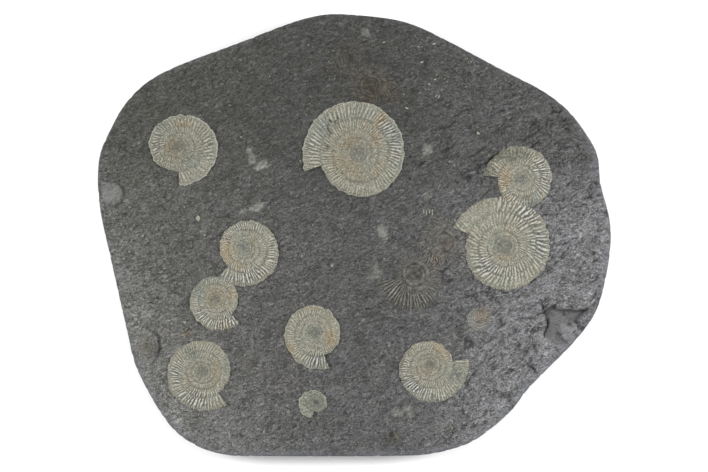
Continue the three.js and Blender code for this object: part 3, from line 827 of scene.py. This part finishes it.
class CoilGrid:
    """Vertex numbers and places of a coil's surface, whorl by whorl.

    Row 0 of a station is the whorl's outer edge. It is also the inner edge of the whorl outside it,
    one turn before, so the whorls share their seams and the coil is one closed sheet."""

    def __init__(self, spec, steps):
        self.centre, self.mouth, self.inward, self.radii = spec
        self.steps = steps
        whorls = len(WHORL_ROWS)
        self.edge_count = steps * (whorls + 1) + 1
        self.row_start = []
        angle = [np.arange(self.edge_count) * TURN / steps]
        place = [np.zeros(self.edge_count)]
        number = self.edge_count
        for station in range(steps * whorls + 1):
            rows = self.rows_at(station)
            self.row_start.append(number)
            angle.append(np.full(rows - 1, station * TURN / steps))
            place.append((1 - np.cos(np.arange(1, rows) / rows * math.pi)) / 2)
            number += rows - 1
        self.angle = np.concatenate(angle)
        self.place = np.concatenate(place)
        outer = coil_radius(self.radii, self.angle)
        inner = coil_radius(self.radii, self.angle + TURN)
        radius = outer + (inner - outer) * self.place
        direction = math.radians(self.mouth) + self.inward * self.angle
        self.x = self.centre[0] + radius * np.cos(direction)
        self.y = self.centre[1] + radius * np.sin(direction)
        self.count = len(self.x)
        mouth_rows = range(WHORL_ROWS[0] - 1, 0, -1)
        self.rim = list(range(steps + 1)) + [self.number(0, row) for row in mouth_rows]

    def rows_at(self, station):
        """How many rows cross the whorl that starts at a station."""
        return WHORL_ROWS[min(station // self.steps, len(WHORL_ROWS) - 1)]

    def number(self, station, row):
        """The vertex number of a row at a station."""
        if row == 0:
            return station
        if row == self.rows_at(station):
            return station + self.steps
        return self.row_start[station] + row - 1

    def middle(self):
        """A point just off the coil's centre, which every innermost edge faces."""
        reach = coil_radius(self.radii, np.array(TURN * (len(WHORL_ROWS) + 1))) / 3
        direction = math.radians(self.mouth) + self.inward * TURN / 4
        return self.centre[0] + reach * math.cos(direction), self.centre[1] + reach * math.sin(direction)

    def closed(self, top, middle_height, depth):
        """Vertices and faces of a closed body: this sheet on top, a wall, and an underside."""
        mx, my = self.middle()
        rim_x, rim_y = self.x[self.rim], self.y[self.rim]
        under = np.stack([rim_x, rim_y, base_height(rim_x, rim_y) - depth], axis=1)
        ground = float(base_height(np.array([mx]), np.array([my]))[0])
        points = [np.stack([self.x, self.y, top], axis=1), [[mx, my, ground + middle_height]]]
        points += [under, [[mx, my, ground - depth]]]
        faces = self.top_faces() + self.side_faces()
        if self.inward < 0:
            faces = [tuple(reversed(face)) for face in faces]
        return np.concatenate(points), faces

    def top_faces(self):
        faces = []
        last = self.steps * len(WHORL_ROWS)
        for station in range(last):
            share = self.rows_at(station) // self.rows_at(station + 1)
            for row in range(self.rows_at(station)):
                near = (self.number(station, row), self.number(station, row + 1))
                far = (self.number(station + 1, row // share), self.number(station + 1, (row + 1) // share))
                if far[0] == far[1]:
                    faces.append((near[0], far[0], near[1]))
                else:
                    faces.append((near[0], far[0], far[1], near[1]))
        closing = list(range(last, last + self.steps + 1))
        closing += [self.number(last, row) for row in range(WHORL_ROWS[-1] - 1, 0, -1)]
        for a, b in zip(closing, closing[1:] + closing[:1]):
            faces.append((self.count, a, b))
        return faces

    def side_faces(self):
        faces = []
        first = self.count + 1
        bottom = first + len(self.rim)
        for i, j in around(len(self.rim)):
            faces.append((self.rim[i], first + i, first + j, self.rim[j]))
            faces.append((bottom, first + j, first + i))
        return faces


def whorl_profile(grid, relief):
    """Height of a coil's whorls above the rock, without their ribs."""
    past_first = step_between(grid.angle, TURN - 0.05, TURN + 0.02)
    outer_edge = blend(relief["rim"], relief["seam"], past_first)
    inner_edge = blend(relief["seam"], relief["inner_seam"], past_first)
    crest = blend(relief["crest"], relief["inner_crest"], past_first)
    sunk = (relief["crest"] - relief["centre"]) * step_between(grid.angle / TURN, 2.5, 6)
    roundness = np.clip(4 * grid.place * (1 - grid.place), 0, 1) ** 0.6
    return blend(blend(outer_edge, inner_edge, grid.place), crest, roundness) - sunk


def rib_pattern(grid, rib_count, seed):
    """How much of a rib crest each point is, from 0 to 1. The ribs fork towards the outer edge."""
    angle, place = grid.angle, grid.place
    lean = place + 0.6 * (place - 0.5) ** 2
    uneven = 0.45 * noise(angle * 5.3, place * 0.5, seed)
    phase = rib_count * angle + TURN * (lean + uneven)
    single = 0.5 + 0.5 * np.cos(phase)
    double = 0.5 + 0.5 * np.cos(2 * phase + 1.1)
    fork_place = 0.4 + 0.2 * noise(angle * 4.0, angle * 0 + 7, seed + 3)
    forked = step_between(fork_place - place, 0, 0.15) * (1 - step_between(angle / TURN, 0.95, 1.02))
    rib = single**1.5 * (1 - forked) + double**1.2 * forked * (0.62 + 0.2 * single)
    broken = 0.75 + 0.5 * layered_noise(grid.x / 1.6, grid.y / 1.6, seed + 6, 2)
    return np.clip(rib * broken, 0, 1)


def coil_relief(grid, relief, rib_count, seed, wear, bold, worn):
    """Height of a coil above the rock, and how much of a rib crest each point is, from 0 to 1."""
    place, turn = grid.place, grid.angle / TURN
    rib = rib_pattern(grid, rib_count, seed) - MIDDLE_RIB
    fade = np.clip(place * 12 + 0.75, 0, 1) * np.clip((1 - place) * 7 + 0.25, 0, 1)
    fade = fade * (1 - 0.6 * step_between(turn, 3.5, 5.5))
    rubbed = 1 - wear * step_between(layered_noise(grid.x / 6, grid.y / 6, seed + 5, 4), -0.1, 0.75)
    clear = blend(rubbed * (1 - worn), 1, bold)
    narrow = 1 - 0.3 * step_between(turn, 1, 3) - 0.4 * step_between(turn, 3, 6)
    rib_height = relief["rib"] * narrow * fade * clear * (0.75 + 0.9 * bold)
    return whorl_profile(grid, relief) + rib_height * rib, MIDDLE_RIB + rib * fade * clear


def roughen_rim(grid, seed, reach):
    """Make a coil's outer rim uneven, as broken shell and overlapping rock leave it."""
    near_rim = np.where(grid.angle < TURN, 1 - step_between(grid.place, 0, 0.3), 0)
    shift = reach * layered_noise(grid.x / 5, grid.y / 5, seed, 3) - 0.3 * reach
    out_x, out_y = grid.x - grid.centre[0], grid.y - grid.centre[1]
    length = np.hypot(out_x, out_y)
    grid.x = grid.x + out_x / length * shift * near_rim
    grid.y = grid.y + out_y / length * shift * near_rim


def shell_tones(grid, broken, pale_rim):
    """The attributes of a shell's surface, apart from its ribs."""
    x, y, place, turn = grid.x, grid.y, grid.place, grid.angle / TURN
    on_inner_whorls = turn >= 1
    outer_seam = np.where(on_inner_whorls, 1 - step_between(place, 0, 0.14), 0)
    near_rim = np.where(on_inner_whorls, 0, 1 - step_between(place, 0.02, 0.09))
    tones = {kind: patch_strength(x, y, kind) for kind in ("warm", "cool", "dull")}
    tones["inner"] = step_between(turn, 3.9, 5.6)
    # The seam mask sets where painted shade falls in the seams between whorls.
    seam = np.maximum(step_between(place, 0.88, 1), outer_seam)
    tones["seam"] = seam * (1 - 0.5 * step_between(turn, 3, 5))
    # Painted shade inside the breaks in the shell.
    tones["dark"] = 0.75 * np.clip(broken / 0.5, 0, 1)
    tones["rim"] = near_rim * pale_rim
    return tones


def make_ammonite(name, spec, material, seed):
    *place_spec, rib_count = spec
    factor = LARGE_FACTOR if spec[3][0] > LARGE_RADIUS else 1.0
    relief = {key: value * (1.0 if key == "rib" else factor) for key, value in SHELL_RELIEF.items()}
    grid = CoilGrid(place_spec, int(rib_count * RIB_SAMPLES))
    bold = patch_strength(grid.x, grid.y, "bold")
    worn = patch_strength(grid.x, grid.y, "worn")
    height, rib = coil_relief(grid, relief, rib_count, seed, SHELL_WEAR, bold, worn)
    roughen_rim(grid, seed + 20, 0.7)
    x, y = grid.x, grid.y
    crushed = 0.17 * layered_noise(x / 9, y / 9, seed + 9, 3)
    grain = 0.07 * layered_noise(x / 1.3, y / 1.3, seed + 14, 2)
    quiet = 0.3 + 0.7 * step_between(grid.place + (grid.angle > TURN), 0, 0.15)
    lift = LIFTED.get(name, 0.0)
    broken = lines_cut(x, y, SHELL_BREAKS)
    z = base_height(x, y) + lift + height + (crushed + grain) * quiet - broken
    vertices, faces = grid.closed(z, lift + relief["centre"], SHELL_BOTTOM)
    tones = {"rib": rib, "bold": bold, **shell_tones(grid, broken, PALE_RIMS.get(name, 0.0))}
    attributes = {key: with_extra(values, len(vertices)) for key, values in tones.items()}
    piece = build_object(f"ribbed_ammonite_{name}", vertices, faces, material, attributes)
    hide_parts(f"ammonite_{name}")
    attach(piece, "root")


def make_dark_coil(name, spec, material, seed):
    *place_spec, rib_count, strength = spec
    grid = CoilGrid(place_spec, int(rib_count * RIB_SAMPLES))
    bold = patch_strength(grid.x, grid.y, "dark_bold")
    height, rib = coil_relief(grid, DARK_RELIEF, rib_count, seed, DARK_WEAR, bold, 0.0)
    x, y = grid.x, grid.y
    shown = step_between(depth_inside_coil(x, y, *place_spec), 0, 3.0)
    texture = scaly_texture(x, y) * (1 - 0.45 * shown)
    z = base_height(x, y) + texture + (height * strength + 0.1) * shown - 0.35 * (1 - shown)
    vertices, faces = grid.closed(z, 0.3 * strength, SHELL_BOTTOM)
    total = len(vertices)
    # The inner whorls show as rings more than as ribs
    ringed = 0.7 * step_between(grid.angle, 0.8 * TURN, 1.6 * TURN)
    ring = np.clip(5 * grid.place * (1 - grid.place), 0.25, 0.62)
    ring = ring * (0.9 + 0.8 * noise(x / 3.5, y / 3.5, seed + 8))
    visible = with_extra(shown * strength * (0.45 + 0.55 * bold), total)
    attributes = face_tones(vertices)
    attributes["rib"] = with_extra(blend(rib, ring, ringed), total, MIDDLE_RIB)
    attributes["coil"] = visible
    # The painted crack and crevice shade gives way where the coil shows.
    attributes["dark"] = attributes["dark"] * (1 - visible)
    attributes["stain"] = np.maximum(attributes["stain"], with_extra(0.12 * shown, total))
    piece = build_object(name, vertices, faces, material, attributes)
    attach(piece, "root")


# The brown bivalve impression

def make_bivalve(material):
    (cx, cy), (beak_x, beak_y), (half_width, half_height) = BIVALVE_CENTRE, BIVALVE_BEAK, BIVALVE_HALF
    across = np.linspace(0, 1, BIVALVE_RINGS + 1)[1:]
    turn = np.arange(BIVALVE_SPOKES) * TURN / BIVALVE_SPOKES
    share, spoke = (v.ravel() for v in np.meshgrid(across, turn, indexing="ij"))
    x = blend(beak_x, cx, share) + half_width * share * np.cos(spoke)
    y = blend(beak_y, cy, share) + half_height * share * np.sin(spoke)
    shown = 1 - step_between(share, 0.75, 1)
    folds = 0.5 + 0.5 * np.cos(share * TURN * 9 + 2.2 * noise(x / 4, y / 4, SEED + 80))
    folds = folds * (0.35 + 0.65 * step_between(noise(x / 7, y / 7, SEED + 81) - (x - cx) / 14, -0.4, 0.6))
    relief = 0.35 * np.sqrt(1 - share**2) + 0.2 * folds * shown
    z = base_height(x, y) + scaly_texture(x, y) * (1 - 0.7 * shown) + relief * shown - 0.3 * (1 - shown)
    beak_z = base_height(np.array([beak_x]), np.array([beak_y]))[0] + 0.35
    top = np.concatenate([[[beak_x, beak_y, beak_z]], np.stack([x, y, z], axis=1)])
    under = top[-BIVALVE_SPOKES:] - [0, 0, 1.0]
    vertices = np.concatenate([top, under, [[cx, cy, under[:, 2].mean()]]])

    def whole(beak_value, values):
        """One value for each vertex: the beak, the rings, and 0 below them."""
        return with_extra(np.concatenate([[beak_value], values]), len(vertices))

    lower_left = step_between(0.6 * (cx - x) + 0.8 * (cy - y), -7, 6)
    attributes = face_tones(vertices)
    attributes["rib"] = whole(0.0, folds * shown)
    attributes["coil"] = whole(0.6, 0.6 * shown)
    attributes["pale"] = whole(0.3, (0.3 + 0.6 * folds) * shown * (0.55 + 0.45 * lower_left))
    # The bivalve takes none of the painted crack and crevice shade.
    del attributes["dark"]
    faces = dome_faces(BIVALVE_RINGS + 1, BIVALVE_SPOKES)
    piece = build_object("bivalve_impression", vertices, faces, material, attributes)
    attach(piece, "root")


# Small shell fragments

def fragment_specs(rng):
    """Place, half length, half width, direction and dullness of every fragment."""
    specs = [(*named, FRAGMENT_DULLNESS) for named in NAMED_FRAGMENTS]
    for (cx, cy), direction, ribs, spacing, half_length, dullness in RIB_TRACES:
        c, s = math.cos(math.radians(direction)), math.sin(math.radians(direction))
        for rib in range(ribs):
            aside = (rib - (ribs - 1) / 2) * spacing
            length = half_length * rng.uniform(0.7, 1.1)
            x = cx - s * aside + rng.uniform(-0.6, 0.6) * c
            y = cy + c * aside + rng.uniform(-0.6, 0.6) * s
            specs.append(((x, y), length, TRACE_HALF_WIDTH, direction + rng.uniform(-7, 7), dullness))
    curve = smooth_closed_curve(OUTLINE, 3)
    wanted = len(specs) + RANDOM_FRAGMENTS
    while len(specs) < wanted:
        place = rng.uniform(np.negative(RANDOM_HALF), RANDOM_HALF)
        x, y = place[:1], place[1:]
        size = rng.uniform(0.3, 0.75)
        shape = rng.uniform(0.45, 1)
        direction = rng.uniform(0, 180)
        if depth_inside(x, y, curve)[0] > 5 and under_fossils(x, y)[0] == 0:
            specs.append((place, size, size * shape, direction, FRAGMENT_DULLNESS))
    return specs


def fragment_points(centre, length, width, direction, rng):
    """A low lump on the rock: its top point, rings outward and down, and its bottom point."""
    cx, cy = centre
    turn = np.arange(FRAGMENT_SIDES) * TURN / FRAGMENT_SIDES
    wobble = 1 + rng.uniform(-0.22, 0.22, FRAGMENT_SIDES)
    height = 0.12 + 0.18 * width
    rows = [np.array([[cx, cy, height]])]
    for ring in range(1, FRAGMENT_RINGS + 1):
        share = ring / FRAGMENT_RINGS
        u = length * share * wobble * np.cos(turn)
        v = width * share * wobble * np.sin(turn)
        dx, dy = turned(u, v, -direction)
        lift = np.full(FRAGMENT_SIDES, height * (1 - share**2) - 0.25 * share**4)
        rows.append(np.stack([cx + dx, cy + dy, lift], axis=1))
    rows.append(rows[-1] - [0, 0, 0.4])
    rows.append(np.array([[cx, cy, -0.65]]))
    points = np.concatenate(rows)
    points[:, 2] += rock_height(points[:, 0], points[:, 1])
    return points


def make_fragments(material):
    rng = np.random.default_rng(SEED + 5)
    lumps, faces, dull = [], [], []
    for *shape, dullness in fragment_specs(rng):
        points = fragment_points(*shape, rng)
        faces += dome_faces(FRAGMENT_RINGS + 1, FRAGMENT_SIDES, len(points) * len(lumps))
        lumps.append(points)
        dull.append(np.full(len(points), dullness))
    vertices = np.concatenate(lumps)
    attributes = {"rib": np.full(len(vertices), 0.6), "dull": np.concatenate(dull)}
    piece = build_object("shell_fragments", vertices, faces, material, attributes)
    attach(piece, "root")


# Materials

class Nodes:
    """Short calls for wiring a material's nodes."""

    def __init__(self, name):
        self.material = bpy.data.materials.new(name)
        self.material.use_nodes = True
        self.tree = self.material.node_tree
        self.shader = self.tree.nodes["Principled BSDF"]

    def link(self, source, target):
        """Set an input to a number or colour, or link it to an output."""
        if isinstance(source, (int, float)):
            target.default_value = source
        elif isinstance(source, tuple):
            target.default_value = (*source, 1.0)
        else:
            self.tree.links.new(source, target)

    def attribute(self, name, share=None):
        """A vertex attribute, times share if there is one. A piece that lacks it reads as 0."""
        node = self.tree.nodes.new("ShaderNodeAttribute")
        node.attribute_name = name
        fac = node.outputs["Fac"]
        return fac if share is None else self.math("MULTIPLY", fac, share)

    def position(self, scale=(1, 1, 1), direction=0.0):
        """Object coordinates in millimetres, turned to a direction, each axis times its scale."""
        coordinates = self.tree.nodes.new("ShaderNodeTexCoord")
        mapping = self.tree.nodes.new("ShaderNodeMapping")
        mapping.vector_type = "TEXTURE"
        mapping.inputs["Rotation"].default_value = (0, 0, math.radians(direction))
        mapping.inputs["Scale"].default_value = [MM / s for s in scale]
        self.tree.links.new(coordinates.outputs["Object"], mapping.inputs["Vector"])
        return mapping.outputs["Vector"]

    def noise(self, size, detail=4.0, roughness=0.55, scale=(1, 1, 1), distortion=0.0, direction=0.0):
        node = self.tree.nodes.new("ShaderNodeTexNoise")
        self.tree.links.new(self.position(scale, direction), node.inputs["Vector"])
        node.inputs["Scale"].default_value = 1 / size
        node.inputs["Detail"].default_value = detail
        node.inputs["Roughness"].default_value = roughness
        node.inputs["Distortion"].default_value = distortion
        return node.outputs["Fac"]

    def between(self, value, low, high, to_low=0.0, to_high=1.0):
        """to_low where a value is at low, to_high where it is at high, and smooth between them."""
        node = self.tree.nodes.new("ShaderNodeMapRange")
        node.interpolation_type = "SMOOTHSTEP"
        self.link(value, node.inputs["Value"])
        node.inputs["From Min"].default_value = low
        node.inputs["From Max"].default_value = high
        node.inputs["To Min"].default_value = to_low
        node.inputs["To Max"].default_value = to_high
        return node.outputs["Result"]

    def math(self, operation, a, b):
        node = self.tree.nodes.new("ShaderNodeMath")
        node.operation = operation
        self.link(a, node.inputs[0])
        self.link(b, node.inputs[1])
        return node.outputs[0]

    def thin_lines(self, waves, width):
        """1 along the lines where a noise passes its middle value."""
        away = self.math("ABSOLUTE", self.math("SUBTRACT", waves, 0.5), 0)
        return self.between(away, 0, width, 1, 0)

    def mix(self, share, a, b, blend="MIX"):
        node = self.tree.nodes.new("ShaderNodeMix")
        node.data_type = "RGBA"
        node.blend_type = blend
        self.link(share, node.inputs["Factor"])
        self.link(a, node.inputs["A"])
        self.link(b, node.inputs["B"])
        return node.outputs["Result"]

    def layered(self, tone, layers):
        """Lay colours over a tone, each as strong as its share where a noise passes from low to high."""
        for pattern, low, high, share, colour in layers:
            tone = self.mix(self.between(pattern, low, high, 0, share), tone, colour)
        return tone

    def bump(self, height, distance, below=None, strength=1.0):
        """Relief as deep as a distance in millimetres, on top of the relief below."""
        node = self.tree.nodes.new("ShaderNodeBump")
        node.inputs["Distance"].default_value = distance * MM
        node.inputs["Strength"].default_value = strength
        self.link(height, node.inputs["Height"])
        if below is not None:
            self.link(below, node.inputs["Normal"])
        return node.outputs["Normal"]


def shale_material():
    n = Nodes("split_oil_shale")
    mottle = n.noise(16, 5, 0.6, distortion=0.6)
    scales = n.noise(4.2, 5, 0.7, scale=(0.6, 1.2, 1), distortion=1.6, direction=25)
    flakes = n.noise(2.0, 4, 0.7, scale=(0.75, 1.15, 1), distortion=0.8, direction=15)
    grain = n.noise(1.1, 2, 0.6)
    # The light attribute carries painted sheen as well as the rock's own tone.
    light = n.attribute("light")
    # The fleck colour is partly the shale's own pale speckle and partly painted glints on tiny facets.
    fleck_and_glint = n.mix(light, (0.185, 0.185, 0.175), (0.64, 0.64, 0.645))
    # The crevice colour is painted shade in pits and cracks.
    crevice_shade = n.mix(light, (0.012, 0.012, 0.012), (0.018, 0.018, 0.018))
    plain = n.mix(light, (0.063, 0.0635, 0.058), (0.272, 0.271, 0.28))
    tone = n.layered(plain, [
        (mottle, 0.4, 0.7, 0.45, (0.074, 0.073, 0.06)),
        (scales, 0.53, 0.7, 0.5, fleck_and_glint),
        (scales, 0.46, 0.3, 0.6, crevice_shade),
        (flakes, 0.54, 0.68, 0.6, fleck_and_glint),
        (flakes, 0.46, 0.33, 0.75, crevice_shade),
        (grain, 0.54, 0.7, 0.45, fleck_and_glint),
        (grain, 0.46, 0.3, 0.58, crevice_shade),
    ])
    lines = fine_lines(n)
    # The thin wavy lines are cut into the bump and painted in the crevice colour: painted shade in fine
    # cracks.
    tone = n.mix(n.math("MULTIPLY", lines, 0.85), tone, crevice_shade)
    tone = n.mix(n.attribute("smooth"), tone, plain)
    tone = n.mix(n.attribute("olive"), tone, (1.0, 1.0, 0.93), "MULTIPLY")
    tone = n.mix(n.attribute("coil", 0.75), tone, dark_coil_tone(n, light, grain, fleck_and_glint))
    pale = n.math("MULTIPLY", n.attribute("pale"), n.between(scales, 0.36, 0.54, 0.2, 1))
    tone = n.mix(pale, tone, (0.34, 0.34, 0.3))
    tone = n.mix(n.attribute("stain", 0.85), tone, (1.14, 0.93, 0.74), "MULTIPLY")
    # The pale bluish band along the edge is a painted highlight on the bevel.
    tone = n.mix(n.attribute("edge", 0.5), tone, (0.22, 0.228, 0.252))
    # Painted shade in cracks, crevices, at the foot of the hollow's wall and beside the disc.
    tone = n.mix(n.attribute("dark"), tone, (0.01, 0.01, 0.01))
    tone = n.mix(n.attribute("side"), tone, sawn_side_tone(n, grain))
    n.link(tone, n.shader.inputs["Base Color"])
    n.link(n.between(grain, 0.3, 0.7, 0.6, 0.85), n.shader.inputs["Roughness"])
    n.shader.inputs["Specular IOR Level"].default_value = 0.25
    fine = n.bump(grain, 0.8, n.bump(flakes, 2.0))
    cut = n.bump(n.math("SUBTRACT", 0.0, lines), 0.5, fine)
    n.link(n.bump(scales, 3.2, cut), n.shader.inputs["Normal"])
    return n.material


def fine_lines(n):
    """1 along the thin wavy lines of the shale: long ones in some places, short ones in the others."""
    mask = n.noise(9, 3, 0.6)
    long_waves = n.noise(8, 4, 0.6, scale=(0.6, 1.4, 1), distortion=1.2, direction=35)
    short_waves = n.noise(4.5, 3, 0.6, scale=(0.7, 1.3, 1), distortion=1.5, direction=10)
    long_lines = n.math("MULTIPLY", n.thin_lines(long_waves, 0.019), n.between(mask, 0.44, 0.54))
    short_lines = n.math("MULTIPLY", n.thin_lines(short_waves, 0.027), n.between(mask, 0.56, 0.46))
    return n.math("MAXIMUM", long_lines, short_lines)


def dark_coil_tone(n, light, grain, fleck_and_glint):
    """Grooves painted dark as shade and rib crests painted pale as highlight, the crests brighter where the
    rock is lighter.
    """
    crest = n.mix(n.between(light, 0.05, 0.35), (0.2, 0.195, 0.162), (0.4, 0.395, 0.335))
    tone = n.mix(n.between(n.attribute("rib"), 0.05, 0.8), (0.038, 0.037, 0.03), crest)
    return n.layered(tone, [(grain, 0.54, 0.68, 0.6, fleck_and_glint)])


def sawn_side_tone(n, grain):
    """Thin level layers, as a saw leaves them."""
    layers = n.noise(1.4, 4, 0.6, scale=(0.02, 0.02, 1.3))
    tone = n.mix(n.between(layers, 0.35, 0.65), (0.04, 0.042, 0.046), (0.09, 0.092, 0.096))
    return n.layered(tone, [(grain, 0.4, 0.7, 0.4, (0.14, 0.14, 0.14))])


def fossil_material():
    n = Nodes("pale_fossil_shell")
    mottle = n.noise(9, 4, 0.6, distortion=0.5)
    blotch = n.noise(2.2, 5, 0.75)
    grain = n.noise(1.0, 3, 0.65)
    bold = n.attribute("bold")
    # The ribs' tone is painted shade and highlight: darker in the grooves, paler on the crests, both
    # stronger in bold patches.
    groove = n.mix(bold, (0.13, 0.127, 0.098), (0.067, 0.066, 0.056))
    crest = n.mix(bold, (0.346, 0.343, 0.278), (0.485, 0.485, 0.435))
    tone = n.mix(n.between(n.math("ADD", n.attribute("rib"), grain), 0.55, 1.3), groove, crest)
    tints = (
        (n.between(mottle, 0.5, 0.7, 0, 0.5), (1.0, 0.9, 0.76)),
        (n.between(mottle, 0.46, 0.3, 0, 0.6), (0.84, 0.9, 0.82)),
        (n.attribute("warm"), (1.08, 0.87, 0.68)),
        (n.attribute("cool"), (0.82, 0.91, 1.0)),
        (n.attribute("dull"), (0.5, 0.5, 0.46)),
    )
    for share, tint in tints:
        tone = n.mix(share, tone, tint, "MULTIPLY")
    # Painted shade in the seams between the whorls, broken up by the mottle.
    seam_shade = n.math("MULTIPLY", n.attribute("seam"), n.between(mottle, 0.38, 0.62, 0.3, 0.85))
    tone = n.mix(seam_shade, tone, (0.09, 0.086, 0.068))
    tone = n.mix(n.attribute("inner", 0.65), tone, (0.105, 0.11, 0.095))
    tone = n.layered(tone, [
        (blotch, 0.52, 0.66, 0.35, (0.41, 0.405, 0.35)),
        (blotch, 0.47, 0.33, 0.5, (0.08, 0.076, 0.06)),
        (grain, 0.57, 0.7, 0.45, (0.54, 0.53, 0.48)),
        (grain, 0.44, 0.32, 0.48, (0.055, 0.053, 0.043)),
    ])
    tone = n.mix(n.attribute("rim"), tone, (0.42, 0.42, 0.36))
    # Painted shade in the breaks in the shell.
    tone = n.mix(n.attribute("dark"), tone, (0.025, 0.024, 0.021))
    n.link(tone, n.shader.inputs["Base Color"])
    n.link(n.between(grain, 0.3, 0.7, 0.5, 0.75), n.shader.inputs["Roughness"])
    n.shader.inputs["Specular IOR Level"].default_value = 0.25
    n.link(n.bump(grain, 0.5, n.bump(blotch, 1.1, strength=0.8)), n.shader.inputs["Normal"])
    return n.material


def floor_material():
    n = Nodes("pale_floor")
    cloud = n.noise(400, 2, 0.5)
    n.link(n.mix(cloud, (0.93, 0.93, 0.93), (0.95, 0.95, 0.95)), n.shader.inputs["Base Color"])
    n.shader.inputs["Roughness"].default_value = 0.9
    return n.material


# Studio

def make_floor():
    half, level = FLOOR_HALF, FLOOR_LEVEL
    corners = [(-half, -half, level), (half, -half, level), (half, half, level), (-half, half, level)]
    floor = build_object("studio_floor", corners, [(0, 1, 2, 3)], floor_material())


def make_camera():
    data = bpy.data.cameras.new("camera")
    data.lens = LENS
    data.sensor_width = SENSOR
    data.clip_end = 50
    camera = bpy.data.objects.new("camera", data)
    height = FACE_LEVEL + VIEW_WIDTH * LENS / SENSOR
    camera.location = (VIEW_CENTRE[0] * MM, VIEW_CENTRE[1] * MM, height * MM)
    bpy.context.scene.collection.objects.link(camera)
    bpy.context.scene.camera = camera


def make_light(name, place, size, power):
    data = bpy.data.lights.new(name, "AREA")
    data.shape = "DISK"
    data.size = size
    data.energy = power
    light = bpy.data.objects.new(name, data)
    light.location = place
    light.rotation_euler = (-Vector(place)).to_track_quat("-Z", "Y").to_euler()
    bpy.context.scene.collection.objects.link(light)


def make_studio():
    make_floor()
    make_camera()
    for name, light in LIGHTS.items():
        make_light(name, *light)
    world = bpy.data.worlds.new("studio_white")
    world.use_nodes = True
    background = world.node_tree.nodes["Background"]
    background.inputs["Color"].default_value = (1, 1, 1, 1)
    background.inputs["Strength"].default_value = WORLD_STRENGTH
    bpy.context.scene.world = world
    bpy.context.scene.view_settings.view_transform = "Standard"


def main():
    shale = shale_material()
    fossil = fossil_material()
    make_slab(shale)
    for index, (name, spec) in enumerate(AMMONITES.items()):
        make_ammonite(name, spec, fossil, SEED + 100 + 10 * index)
    for index, (name, spec) in enumerate(DARK_COILS.items()):
        make_dark_coil(name, spec, shale, SEED + 300 + 10 * index)
    make_bivalve(shale)
    make_fragments(fossil)
    make_studio()


main()
